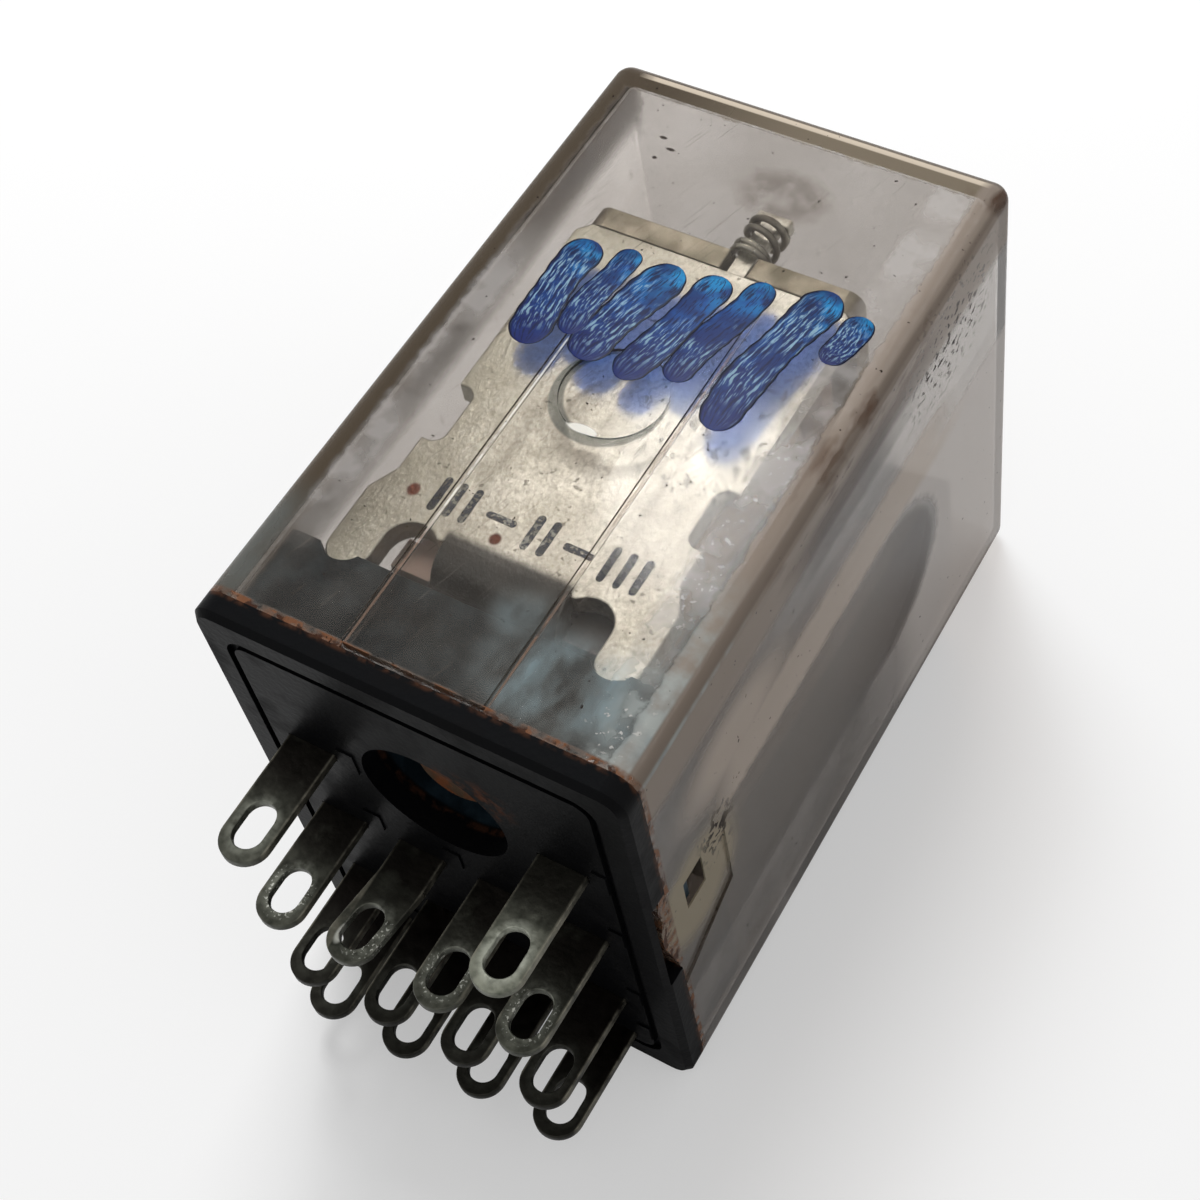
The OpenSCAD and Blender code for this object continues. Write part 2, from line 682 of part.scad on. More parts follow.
module cover() {
    tongue_in = cavity_half_w;
    color([0.62, 0.58, 0.56, 0.45]) difference() {
        union() {
            drafted_block(body_w, body_d, flange_t, body_h, corner_r, top_edge_r, cover_draft,
                $fn = hull_fn);
            translate([tongue_in, 0, 0]) along_x(cover_wall - 0.05) broken_tongue_outline();
            mirror([1, 0, 0])
                translate([tongue_in, 0, 0]) along_x(cover_wall - 0.05) whole_tongue_outline();
        }
        drafted_block(2 * cavity_half_w, 2 * cavity_half_d, flange_t - over,
            body_h - cover_top_t, corner_r - 0.6, 0.4, cover_draft, $fn = hull_fn);
        // Windows and thinned panels of the snap fit
        for (s = [0, 1]) mirror([s, 0, 0]) {
            translate([cavity_half_w - over, window_y, window_z - window_w / 2])
                cube([cover_wall + 2 * over, window_h, window_w]);
            snap_panel();
        }
        // The gate's dish, the two fine grooves and the shallow slot in the front wall
        on_front_wall() {
            translate([0, gate_y - flange_t, -gate_depth]) cylinder(h = over, d = gate_d);
            for (s = [-1, 1])
                translate([s * groove_x - groove_w / 2, 0.3, -groove_depth])
                    cube([groove_w, groove_top_y - flange_t, over]);
            translate([-pry_slot_w / 2, -over, -cover_wall / 2])
                cube([pry_slot_w, over + pry_slot_h, cover_wall]);
        }
    }
}

// Front plate of the yoke, with its notches, relief slots, legs and spring post
module yoke_plate_outline() {
    half = yoke_w / 2;
    relief_x = neck_w / 2 + relief_w / 2;
    leg_x = neck_w / 2 + relief_w + leg_w / 2;
    leg_out = leg_x + leg_w / 2;
    bend_top_y = yoke_seat_y + bend_r;
    leg_top_y = bend_top_y + leg_w / 2;
    plate_foot_y = bend_top_y + relief_w;
    difference() {
        union() {
            translate([-half, bend_top_y]) square([yoke_w, yoke_top_y - bend_top_y]);
            for (s = [0, 1]) mirror([s, 0]) {
                translate([leg_x, leg_y + leg_w / 2]) circle(d = leg_w);
                polygon([[leg_x - leg_w / 2, leg_y + leg_w / 2], [leg_out, leg_y + leg_w / 2],
                    [leg_out, leg_top_y], [half, plate_foot_y],
                    [relief_x, plate_foot_y], [relief_x, relief_top_y - relief_w / 2],
                    [leg_x - leg_w / 2, relief_top_y - relief_w / 2]]);
            }
        }
        for (s = [-1, 1]) {
            translate([s * relief_x, relief_top_y - relief_w / 2]) circle(d = relief_w);
            translate([s * half, side_notch_y + side_notch_l / 2])
                rounded_rect(2 * side_notch, side_notch_l, 0.6);
            translate([s * half, yoke_top_y]) rotate(45) square(0.8, center = true);
        }
    }
}

module spring_post() {
    head_t = 0.55;
    translate([post_x, 0, yoke_back_z]) {
        translate([-post_w / 2, yoke_top_y - over, 0]) cube([post_w, post_l + over, post_t]);
        translate([-post_w / 2 - post_hook, yoke_top_y + post_l, 0])
            cube([post_w + 2 * post_hook, head_t, post_t]);
    }
}

// The neck's bend: a quarter turn from the front plate to the floor, seen from the side
module yoke_bend_section() {
    intersection() {
        translate([yoke_seat_y + bend_r, yoke_front_z - bend_r]) difference() {
            circle(r = bend_r);
            circle(r = bend_r - yoke_t);
        }
        translate([yoke_seat_y, yoke_front_z - bend_r]) square([bend_r, bend_r]);
    }
}

module yoke() {
    floor_end_z = coil_back_z + floor_inset;
    wide_from_z = yoke_front_z - bend_r - neck_l;
    color("#b9b5a0") union() {
        translate([0, 0, yoke_back_z + yoke_t / 2]) along_z(yoke_t) yoke_plate_outline();
        spring_post();
        translate([-neck_w / 2, 0, 0]) along_x(neck_w) yoke_bend_section();
        difference() {
            along_y(yoke_seat_y, yoke_t) {
                translate([-neck_w / 2, wide_from_z - 1])
                    square([neck_w, yoke_front_z - bend_r - wide_from_z + 1]);
                translate([0, (wide_from_z + floor_end_z) / 2])
                    rounded_rect(yoke_floor_w, wide_from_z - floor_end_z, 1);
            }
            translate([0, 0, coil_z])
                rod_y(yoke_seat_y - over, yoke_floor_y + over, spigot_d / 2 + slot_play);
        }
    }
}

module core() {
    washer_y = well_depth - washer_t;
    edge = 0.25;
    color("#8f8d84") translate([0, 0, coil_z]) {
        rod_y(pole_y - pole_t, pole_y, pole_d / 2);
        rod_y(yoke_floor_y, pole_y - pole_t, core_d / 2);
        rod_y(washer_y, yoke_floor_y, spigot_d / 2);
        rod_y(washer_y - staked_head_t + edge, washer_y, staked_head_d / 2);
        cone_y(washer_y - staked_head_t, washer_y - staked_head_t + edge,
            staked_head_d / 2 - 2 * edge, staked_head_d / 2);
    }
}

module core_washer() {
    color("#7a5a3c") translate([0, 0, coil_z]) difference() {
        rod_y(well_depth - washer_t, well_depth, washer_d / 2);
        rod_y(0, well_depth + over, spigot_d / 2 + slot_play);
    }
}

module bobbin() {
    foot_x = neck_w / 2 + 0.2;
    foot_w = lower_flange_w / 2 - foot_x;
    foot_h = 1.05;
    bend_inner_r = bend_r - yoke_t;
    color("#e9dfd2") translate([0, 0, coil_z]) difference() {
        union() {
            rod_y(bobbin_y, bobbin_top_y, tube_r);
            along_y(bobbin_y, coil_flange_t)
                rounded_rect(lower_flange_w, coil_flange_d, 1.2);
            along_y(bobbin_top_y - coil_flange_t, coil_flange_t)
                rounded_rect(upper_flange_w, coil_flange_d, 1.2);
            // Two feet that straddle the yoke's neck
            for (s = [0, 1]) mirror([s, 0, 0])
                translate([foot_x, bobbin_y - foot_h, coil_flange_d / 2 - 1.6])
                    cube([foot_w, foot_h + over, 1.6]);
        }
        rod_y(bobbin_y - over, bobbin_top_y + over, bobbin_bore_r);
        // Relief for the inside radius of the yoke's bend
        translate([-foot_x, bobbin_y - over, coil_flange_d / 2 - bend_inner_r])
            cube([2 * foot_x, over + bend_inner_r, bend_inner_r + over]);
    }
}

module coil_winding() {
    color("#7d4a2a") translate([0, 0, coil_z]) difference() {
        rod_y(winding_y + seat_gap, winding_top_y - seat_gap, winding_r);
        rod_y(winding_y - over, winding_top_y + over, tube_r + seat_gap);
    }
}

module coil_tape() {
    inner_r = winding_r + seat_gap;
    color("#d8c9b4") translate([0, 0, coil_z]) difference() {
        rod_y(winding_y + 0.1, winding_top_y - 0.1, inner_r + tape_t);
        rod_y(winding_y - over, winding_top_y + over, inner_r);
    }
}

// Thin wire from the winding's foot to the back of a coil terminal
module coil_lead(side) {
    r = coil_lead_d / 2;
    out = (winding_r + tape_t + r + 0.05) / sqrt(2);
    end_z = coil_row_z - blade_t / 2 - r - lead_gap;
    y = winding_y + 4 * r;
    route = [[side * out, y, coil_z - out], [side * (out + 7 * r), y + 2 * r, coil_z - out + 2 * r],
        [side * (coil_terminal_x - 3 * r), y + 3 * r, end_z - 8 * r],
        [side * coil_terminal_x, y, end_z - r], [side * coil_terminal_x, y - 5 * r, end_z]];
    color("#8a4b22") tube(smooth_path(route, 3), r, 6, [0.3 * side, 0.2, 1]);
}

// Closed-end compression spring between the armature's front edge and the post's head
module return_spring() {
    coil_r = return_spring_r - return_wire_d / 2;
    foot_y = armature_top_y + 0.12 + return_wire_d / 2;
    head_y = yoke_top_y + post_l - 0.02 - return_wire_d / 2;
    per_turn = 12;
    steps = return_turns * per_turn;
    // Share of the rise after each step: the first and last half turns lie nearly flat
    function rise(u) = u - sin(360 * u) / (2 * PI);
    path = [for (k = [0 : steps])
        [post_x + coil_r * cos(360 * k / per_turn),
            foot_y + (head_y - foot_y) * rise(k / steps),
            yoke_back_z + post_t / 2 + coil_r * sin(360 * k / per_turn)]];
    color("#8b8a80") tube(path, return_wire_d / 2, 6, [0, 1, 0]);
}

// Barrier between two poles, with round upper corners: Y first, Z second
module barrier_section() {
    length_y = barrier_top_y - plug_top_y;
    length_z = barrier_front_z - block_back_z;
    r = min(barrier_r, length_z / 2 - 0.1);
    translate([plug_top_y, block_back_z]) {
        square([length_y - r, length_z]);
        translate([0, r]) square([length_y, length_z - 2 * r]);
        for (z = [r, length_z - r]) translate([length_y - r, z]) circle(r = r);
    }
}

// Outer wall of the block: it reaches forward past the carrier, wider again at its head
module side_wall_section() {
    r = barrier_r;
    neck_y = barrier_top_y - wall_head_h;
    head_y = neck_y + wall_slope_h;
    corner_y = barrier_top_y - 1.25 * r;
    corner_z = side_wall_lip_z - 1.7 * r;
    translate([barrier_top_y - r, block_back_z + r]) circle(r = r);
    polygon([[plug_top_y, block_back_z], [barrier_top_y - r, block_back_z],
        [barrier_top_y - r, block_back_z + r], [barrier_top_y, block_back_z + r],
        [barrier_top_y, corner_z], [corner_y, side_wall_lip_z], [head_y, side_wall_lip_z],
        [neck_y, side_wall_front_z], [plug_top_y, side_wall_front_z]]);
}

module contact_block() {
    color("#26262a") difference() {
        union() {
            translate([-inner_half_w, plug_top_y, block_back_z])
                cube([2 * inner_half_w, block_foot_h, block_front_z - block_back_z]);
            for (x = [-col_pitch, 0, col_pitch])
                translate([x - barrier_t / 2, 0, 0]) along_x(barrier_t) barrier_section();
            for (s = [0, 1]) mirror([s, 0, 0])
                translate([side_wall_x, 0, 0]) along_x(side_wall_t) side_wall_section();
        }
        blade_slots(strip_w, plug_top_y - over, block_top_y + over);
    }
}

// Flat steel armature: it rocks on the yoke's top edge and reaches back over the coil
module armature() {
    main_back_z = coil_back_z + 0.8;
    tail_back_z = carrier_front_z - tail_l;
    main_l = yoke_front_z - main_back_z;
    slot_w = post_w + 0.5;
    color("#a7a493") along_y(hinge_y, armature_t) difference() {
        union() {
            translate([0, main_back_z + main_l / 2]) rounded_rect(armature_w, main_l, 0.8);
            translate([-tail_w / 2, tail_back_z])
                square([tail_w, main_back_z - tail_back_z + over]);
        }
        // The slot that lets the spring post through
        translate([post_x - slot_w / 2, yoke_back_z - 0.35]) square([slot_w, yoke_t + over + 0.35]);
    }
}

// Section of a moving spring: a flat leaf that ends in a tag bent down at z = tag_z
module moving_spring_section(extra) {
    t = moving_spring_t + 2 * extra;
    r = spring_bend_r;
    leaf_end = contact_z - arm_tip;
    y0 = spring_y - t / 2;
    translate([y0, leaf_end]) square([t, tag_z - r - leaf_end + moving_spring_t / 2]);
    translate([tag_bottom_y, tag_z - t / 2]) square([spring_y - r - tag_bottom_y + 0.1, t]);
    intersection() {
        translate([spring_y + moving_spring_t / 2 - r, tag_z + moving_spring_t / 2 - r])
            difference() {
                circle(r = r + extra);
                circle(r = r - moving_spring_t - extra);
            }
        translate([spring_y + moving_spring_t / 2 - r, tag_z + moving_spring_t / 2 - r])
            square([r + extra, r + extra]);
    }
}

module moving_spring(i) {
    color("#c08a52") translate([pole_x(i), 0, 0]) difference() {
        translate([-moving_spring_w / 2, 0, 0])
            along_x(moving_spring_w) moving_spring_section(0);
        translate([0, 0, contact_z])
            rod_y(spring_y - over, spring_y + over, shank_d / 2 + seat_gap);
    }
}

// Two-faced contact riveted through the end of a moving spring
module moving_contact(i) {
    edge = 0.15;
    half = moving_spring_t / 2;
    color("#d5d3c9") translate([pole_x(i), spring_y, contact_z]) {
        rod_y(-half, half, shank_d / 2);
        for (s = [0, 1]) mirror([0, s, 0]) {
            rod_y(half, half + contact_t - edge, contact_d / 2);
            cone_y(half + contact_t - edge, half + contact_t, contact_d / 2, contact_d / 2 - edge);
        }
    }
}

// Insulating moulding on the armature's tail that holds the four moving springs
module contact_carrier() {
    w = moving_spring_w + 2 * seat_gap;
    top_y = armature_top_y + carrier_over;
    color("#2f2a28") difference() {
        along_y(carrier_bottom_y, top_y - carrier_bottom_y)
            translate([0, (carrier_front_z + carrier_back_z) / 2])
                rounded_rect(2 * carrier_half_w, carrier_d, 0.5);
        // Pocket for the armature's tail
        translate([-tail_w / 2 - seat_gap, hinge_y - seat_gap, carrier_front_z - tail_l - seat_gap])
            cube([tail_w + 2 * seat_gap, armature_t + 2 * seat_gap, tail_l + over]);
        // One bent slot for each spring
        for (i = [1 : 4])
            translate([pole_x(i) - w / 2, 0, 0]) along_x(w) moving_spring_section(seat_gap);
    }
}

// Flexible lead from a common terminal's tail up to its moving spring's tag
module common_lead(i) {
    r = common_lead_d / 2;
    top_z = tag_z + moving_spring_t / 2 + lead_gap + r;
    foot_z = common_row_z - blade_t / 2 - lead_gap - r;
    slack_z = (barrier_front_z + coil_back_z) / 2 - 1.5 * r;
    top_y = carrier_bottom_y - r / 2;
    foot_y = plug_top_y + common_tail_h - 4 * r;
    bow_y = (top_y + foot_y) / 2;
    x = pole_x(i);
    route = [[x, foot_y, foot_z], [x, foot_y + 4 * r, foot_z], [x, foot_y + 9 * r, foot_z - r],
        [x, bow_y - 2 * r, slack_z], [x, bow_y + 7 * r, slack_z + r / 2],
        [x, top_y - 4 * r, top_z], [x, top_y, top_z]];
    color("#b5683c") tube(smooth_path(route, 3), r, 8, [1, 0, 0]);
}

base();
cover();
yoke();
core();
core_washer();
bobbin();
coil_winding();
coil_tape();
return_spring();
contact_block();
coil_terminal(-1);  // coil_terminal_left
coil_terminal(1);  // coil_terminal_right
coil_lead(-1);  // coil_lead_left
coil_lead(1);  // coil_lead_right
armature();
contact_carrier();
for (i = [1 : 4]) {
    common_terminal(i);
    no_terminal(i);
    nc_terminal(i);
    common_lead(i);
    no_contact(i);
    nc_contact(i);
    moving_spring(i);
    moving_contact(i);
}
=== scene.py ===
"""Looks of a miniature plug-in relay that lies on its back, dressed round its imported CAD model.

Sizes are in millimetres in the text and become metres where a mesh or a node needs them.
+Y runs from the blades to the cover's top, +Z points out of the coil side and +X to the right.
"""

import math
from functools import partial

import bmesh
import bpy
import numpy as np
from bpy.props import FloatProperty, FloatVectorProperty, IntProperty, PointerProperty
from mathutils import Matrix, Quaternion, Vector


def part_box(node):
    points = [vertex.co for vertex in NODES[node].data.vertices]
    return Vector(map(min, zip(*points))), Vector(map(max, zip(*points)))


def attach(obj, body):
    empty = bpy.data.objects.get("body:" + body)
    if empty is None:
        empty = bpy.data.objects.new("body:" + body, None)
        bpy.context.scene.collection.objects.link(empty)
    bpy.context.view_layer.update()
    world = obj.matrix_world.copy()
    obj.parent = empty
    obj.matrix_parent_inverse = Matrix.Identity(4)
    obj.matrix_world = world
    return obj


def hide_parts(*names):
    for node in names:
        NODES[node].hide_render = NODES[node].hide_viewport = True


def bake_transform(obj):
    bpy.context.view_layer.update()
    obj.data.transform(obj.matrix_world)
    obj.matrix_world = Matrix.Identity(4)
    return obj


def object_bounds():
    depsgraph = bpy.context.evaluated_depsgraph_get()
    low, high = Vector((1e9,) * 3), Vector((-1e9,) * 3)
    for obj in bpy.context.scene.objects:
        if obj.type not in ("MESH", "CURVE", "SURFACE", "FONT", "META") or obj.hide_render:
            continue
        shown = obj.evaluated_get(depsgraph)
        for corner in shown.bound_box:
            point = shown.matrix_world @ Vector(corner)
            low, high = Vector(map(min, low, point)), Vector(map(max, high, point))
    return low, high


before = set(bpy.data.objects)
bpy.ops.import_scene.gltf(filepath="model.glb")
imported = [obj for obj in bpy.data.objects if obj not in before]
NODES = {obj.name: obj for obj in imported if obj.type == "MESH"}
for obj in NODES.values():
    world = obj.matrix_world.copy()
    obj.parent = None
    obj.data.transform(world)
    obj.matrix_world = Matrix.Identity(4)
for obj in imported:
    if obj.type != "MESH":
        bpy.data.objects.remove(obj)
CAD_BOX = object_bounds()

bl_info = {
    "name": "Plug-in Relay",
    "version": (1, 0, 0),
    "blender": (4, 5, 0),
    "location": "View3D > Sidebar > Relay",
    "description": "Dresses a miniature plug-in relay: clear cover, metals, leads, marks and stage",
    "category": "Object",
}

MM = 0.001
HOUSING = "housing"
POLES = (1, 2, 3, 4)


def box_mm(node):
    """Lowest and highest corner of a CAD node, in millimetres."""
    low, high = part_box(node)
    return np.array(low) / MM, np.array(high) / MM


COVER_HIGH = box_mm("cover")[1]
YOKE_Z = box_mm("yoke")[1][2]
# The cover's foot stands at FOOT_Y, and DRAFT is how far its front leans in by the top
FOOT_Y = 1.25
DRAFT = 0.33
# The poles' columns of blades stand COLUMN_PITCH apart, with the eyelets' middles at EYELET_Y
COLUMN_PITCH = box_mm("no_terminal_2")[0][0] - box_mm("no_terminal_1")[0][0]
TIP_TO_EYELET = 1.9
EYELET_Y = box_mm("no_terminal_1")[0][1] + TIP_TO_EYELET
# The mould lines run up the front at GROOVE_X to either side of the middle
GROOVE_X = 3.55
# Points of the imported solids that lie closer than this, in metres, are one point
WELD = 1e-6


def front_z(y):
    """Where the cover's front face lies on the z axis, in millimetres, at a height y. It comes in
    along a straight line, by DRAFT between the foot and the top."""
    return COVER_HIGH[2] - DRAFT * (y - FOOT_Y) / (COVER_HIGH[1] - FOOT_Y)


# Node trees, in which where is the vector socket that a mask reads


def linear(code):
    """An sRGB colour written #rrggbb as linear red, green, blue and alpha."""
    parts = (int(code[k:k + 2], 16) / 255 for k in (1, 3, 5))
    return (*(c / 12.92 if c <= 0.04045 else ((c + 0.055) / 1.055) ** 2.4 for c in parts), 1.0)


def add(tree, kind, values=(), **settings):
    """Adds a node and gives its first working output. Settings are its own properties. Values fill
    its inputs, named or numbered, with a link, a number or a hex colour."""
    made = tree.nodes.new("ShaderNode" + kind)
    for name, value in settings.items():
        setattr(made, name, value)
    for key, value in dict(values).items():
        named = (s for s in made.inputs if s.enabled and s.name == key)
        socket = made.inputs[key] if isinstance(key, int) else next(named)
        if isinstance(value, bpy.types.NodeSocket):
            tree.links.new(value, socket)
        else:
            socket.default_value = linear(value) if isinstance(value, str) else value
    return next((s for s in made.outputs if s.enabled), None)


def new_material(name):
    """An empty node material, what adds a node to it, and its Object coordinates."""
    made = bpy.data.materials.new(name)
    made.use_nodes = True
    made.node_tree.nodes.clear()
    node = partial(add, made.node_tree)
    return made, node, node("TexCoord").node.outputs["Object"]


def cloud(where, size, low, high, stretch=(1, 1, 1), turn=(0, 0, 0), detail=3.0):
    """Mask of soft clouds size millimetres wide: 0 where the noise is below low, 1 above high.
    Stretch makes them longer along an axis, after they are turned by angles in degrees."""
    node = partial(add, where.id_data)
    place = node("Mapping", {"Vector": where, "Rotation": [math.radians(a) for a in turn]})
    long = node("VectorMath", {0: place, 1: [1 / (size * MM * s) for s in stretch]},
                operation="MULTIPLY")
    noise = node("TexNoise", {"Vector": long, "Scale": 1.0, "Detail": detail})
    return node("MapRange", {"Value": noise, "From Min": low, "From Max": high})


def band(where, axis, low, high):
    """Mask that rises smoothly from 0 at low to 1 at high millimetres along an axis."""
    node = partial(add, where.id_data)
    along = node("SeparateXYZ", {"Vector": where}).node.outputs[axis]
    return node("MapRange", {"Value": along, "From Min": low * MM, "From Max": high * MM},
                interpolation_type="SMOOTHSTEP")


def spot(where, centre, radii, fade=0.3):
    """Mask that is 1 inside an ellipsoid, by its centre and radii in millimetres, and 0 outside.
    Fade is the share of the radii that its soft edge takes to either side."""
    node = partial(add, where.id_data)
    off = node("VectorMath", {0: where, 1: [c * MM for c in centre]}, operation="SUBTRACT")
    unit = node("VectorMath", {0: off, 1: [1 / (r * MM) for r in radii]}, operation="MULTIPLY")
    length = node("VectorMath", {0: unit}, operation="LENGTH").node.outputs["Value"]
    return node("MapRange", {"Value": length, "From Min": 1 + fade, "From Max": 1 - fade},
                interpolation_type="SMOOTHSTEP")


def oval(where, x, y, wide, high, fade=0.3):
    """Mask of an oval on the cover's front face, by its middle and its two radii in millimetres. It
    is deep enough to take in the face's slope."""
    return spot(where, (x, y, 13.5), (wide, high, 2.0), fade)


def product(where, *masks):
    """Masks and shares multiplied, where all of them must hold."""
    result = masks[0]
    for mask in masks[1:]:
        result = add(where.id_data, "Math", {0: result, 1: mask}, operation="MULTIPLY")
    return result


def largest(where, *masks):
    """The highest of several masks, where any of them may hold."""
    result = masks[0]
    for mask in masks[1:]:
        result = add(where.id_data, "Math", {0: result, 1: mask}, operation="MAXIMUM")
    return result


def coats(where, base, *layers):
    """Colour of a base with coats over it. Each coat is its colour and the masks it shows through."""
    for colour, *masks in layers:
        base = add(where.id_data, "Mix", {
            "Factor": product(where, *masks), "A": base, "B": colour}, data_type="RGBA")
    return base


def eye_rays(light):
    """Mask of what the camera sees, straight, in gloss or through glass, from Light Path's outputs."""
    camera = light["Is Camera Ray"]
    return largest(camera, camera, light["Is Glossy Ray"], light["Is Transmission Ray"])


def dress(material, *nodes, edge=0.0):
    """Gives CAD nodes a material, and rounds their sharp edges by edge millimetres."""
    for name in nodes:
        slots = NODES[name].data.materials
        slots.clear()
        slots.append(material)
        if edge:
            weld = NODES[name].modifiers.new("weld", "WELD")
            weld.merge_threshold = WELD
            rounding = NODES[name].modifiers.new("edge", "BEVEL")
            rounding.width = edge * MM
            rounding.segments = 2
            rounding.limit_method = "ANGLE"
            rounding.angle_limit = math.radians(40)
            rounding.use_clamp_overlap = False


# Materials


def clear_polycarbonate(props):
    """Polycarbonate, injection moulded and gone smoky: see-through with a soft shine, browner where
    light runs a long way inside it. Dust and scuffs dull it, most of all at its sides and rims, and
    brown dirt has settled along its foot, round the right snap window and in specks near the top.
    Shade, highlights and a light band are painted on its edges, its gate's dish and its right side."""
    made, node, where = new_material("smoky clear polycarbonate")
    shake = node("TexNoise", {"Vector": where, "Scale": 1 / (0.7 * MM)}).node.outputs["Color"]
    shift = node("VectorMath", {0: shake, 1: (0.5, 0.5, 0.5)}, operation="SUBTRACT")
    ragged = node("VectorMath", {0: shift, 1: (0.5 * MM,) * 3, 2: where}, operation="MULTIPLY_ADD")
    front = band(where, "Z", 12.9, 13.1)
    right = band(where, "X", 10.2, 10.3)
    side = largest(where, band(where, "X", 9.8, 10.2), band(where, "X", -9.8, -10.2))
    dust = cloud(where, 5.0, 0.3, 0.7)
    scratch = cloud(where, 0.14, 0.66, 0.7, stretch=(1, 25, 8), turn=(0, 0, 18))
    # Along its front edges, where the plastic is seen end on, a brown band is painted in as shade,
    # lighter in places, with one painted highlight stripe
    top = product(where, band(ragged, "Y", 34.1, 34.4), front)
    right_edge = product(where, band(where, "Z", 9.4, 10.8), band(ragged, "X", 9.1, 9.4))
    top_edge = product(where, top, band(where, "X", -9.0, 2.0))
    edges = product(where, band(where, "Z", 9.2, 10.6), largest(
        where, top, right_edge, band(ragged, "X", -8.9, -9.4)))
    highlight_stripe = product(where, front, band(where, "Y", 35.04, 35.12), band(where, "Y", 35.44, 35.36),
                     band(ragged, "X", -9.2, -8.0), band(ragged, "X", 9.7, 9.1))
    rims = largest(where, band(where, "Y", 35.3, 35.6), band(where, "Z", -13.0, -13.4))
    # Two mould lines run up the front, the left one full of pale dust and the right one of dirt
    left_line = product(where, front, oval(where, -GROOVE_X, 11.4, 0.055, 11.4, 0.2),
                        band(where, "Y", 4.0, 7.0), cloud(where, 1.2, 0.2, 0.5))
    low_line = product(where, front, oval(where, -GROOVE_X, 4.0, 0.07, 4.5))
    right_line = product(where, front, oval(where, GROOVE_X, 12.0, 0.08, 12.2, 0.2),
                         cloud(where, 1.5, 0.3, 0.5))
    # The gate's dish has a dark ring, wider below, painted as shade, and a painted highlight at its foot
    within = oval(where, 0.15, 17.65, 2.4, 2.4, 0.04)
    ring = product(where, front, oval(where, -0.05, 17.25, 2.75, 2.75, 0.03),
                   node("Math", {0: 1.0, 1: within}, operation="SUBTRACT"))
    glint = product(where, front, oval(where, -0.3, 15.35, 0.75, 0.3, 0.15))
    # Dirt lies along the foot, on the right front corner and at the top of it
    foot = product(where, band(where, "Y", FOOT_Y + 0.4, FOOT_Y + 0.25), cloud(where, 0.6, 0.3, 0.6))
    crust = product(where, band(ragged, "Y", FOOT_Y + 0.25, FOOT_Y + 0.05), cloud(where, 0.7, 0.5, 0.56))
    corner = product(where, cloud(where, 1.4, 0.5, 0.6, stretch=(1, 3, 1)), largest(
        where, spot(where, (10.2, 20.0, 12.6), (0.9, 7.0, 1.5), 0.5),
        spot(where, (9.8, 35.2, 13.4), (1.1, 1.1, 0.8), 0.5)))
    # A pale band of painted light runs down the right side, beside a dark film of painted shade where
    # the contact block stands behind the wall, and the wall round both is painted paler
    lit_band = product(where, right, largest(
        where, spot(where, (10.5, 8.0, 7.2), (1.0, 5.0, 2.6), 0.6),
        product(where, band(ragged, "Z", 2.6, 3.6), band(ragged, "Z", 7.6, 5.9),
                band(where, "Y", 3.0, 8.0), band(where, "Y", 32.0, 26.0))))
    block_hump = largest(
        where, spot(ragged, (10.5, 21.6, -1.6), (2.0, 5.6, 4.9), 0.12),
        product(where, band(ragged, "Z", -6.9, -5.9), band(ragged, "Z", 3.7, 2.7),
                band(where, "Y", 22.4, 21.4)))
    # The dark film is painted shade
    film = product(where, right, block_hump, band(where, "Y", 12.0, 26.0))
    round_film = product(where, right, band(where, "Z", 5.0, 4.0),
                         node("Math", {0: 1.0, 1: block_hump}, operation="SUBTRACT"))
    behind = product(where, round_film, cloud(where, 4.0, 0.2, 0.6))
    upper = product(where, round_film, band(where, "Z", -13.4, -12.2), band(where, "Y", 18.0, 26.0))
    # A dark strip of painted shade borders the right side, and pale veils of dust hang at both ends of
    # the front
    shade = product(where, right, band(ragged, "Z", 8.4, 9.4), band(where, "Z", 12.6, 11.4),
                    band(where, "Y", 12.0, 17.0), band(where, "Y", 30.0, 22.0))
    veil = product(where, front, cloud(where, 2.5, 0.2, 0.6), largest(
        where, product(where, band(ragged, "X", 6.9, 7.6), band(where, "Y", 2.0, 6.0)),
        product(where, band(ragged, "X", -7.0, -8.0), band(where, "Y", 3.0, 8.0),
                band(where, "Y", 27.0, 21.0))))
    # Dark grit sticks to the right side and round its snap window, with three specks near the top
    grit = largest(
        where,
        product(where, right, spot(where, (10.5, 29.0, 10.0), (1.2, 4.6, 2.8), 0.7),
                cloud(where, 0.3, 0.58, 0.6, stretch=(1, 1.5, 1))),
        product(where, right, spot(where, (10.7, 5.6, 2.6), (1.2, 1.3, 1.8), 0.7),
                cloud(where, 0.5, 0.55, 0.58)),
        product(where, cloud(where, 0.3, 0.72, 0.735), largest(where, front, right)))
    for x, y, long in ((-5.75, 31.95, 0.2), (-5.05, 31.4, 0.24), (-5.5, 30.65, 0.12)):
        grit = largest(where, grit, spot(where, (x, y, 13.7), (long, 0.09, 0.6), 0.4))
    # A painted highlight runs down the front right corner edge
    corner_highlight = product(where, band(where, "X", 10.1, 10.25), band(where, "Z", 13.1, 13.3))
    # Low on the front and to its right the plastic is fogged, frosted and scattered with crystals
    fog = product(where, front, cloud(where, 1.8, 0.25, 0.6, stretch=(1, 2, 1)), largest(
        where, product(where, band(where, "Y", 8.5, 5.5), 0.2),
        product(where, oval(where, 2.8, 5.9, 1.8, 1.5, 0.5), 0.65),
        oval(where, 6.6, 3.6, 4.6, 2.6, 0.5)))
    frost = product(where, front, band(ragged, "X", 7.2, 9.0), band(where, "Y", 13.0, 5.0),
                    cloud(where, 0.9, 0.3, 0.6))
    crystals = product(where, front, cloud(where, 0.3, 0.62, 0.66), largest(
        where, oval(where, 8.3, 13.0, 1.0, 6.5, 0.5), oval(where, 8.6, 3.4, 1.2, 2.0, 0.5)))
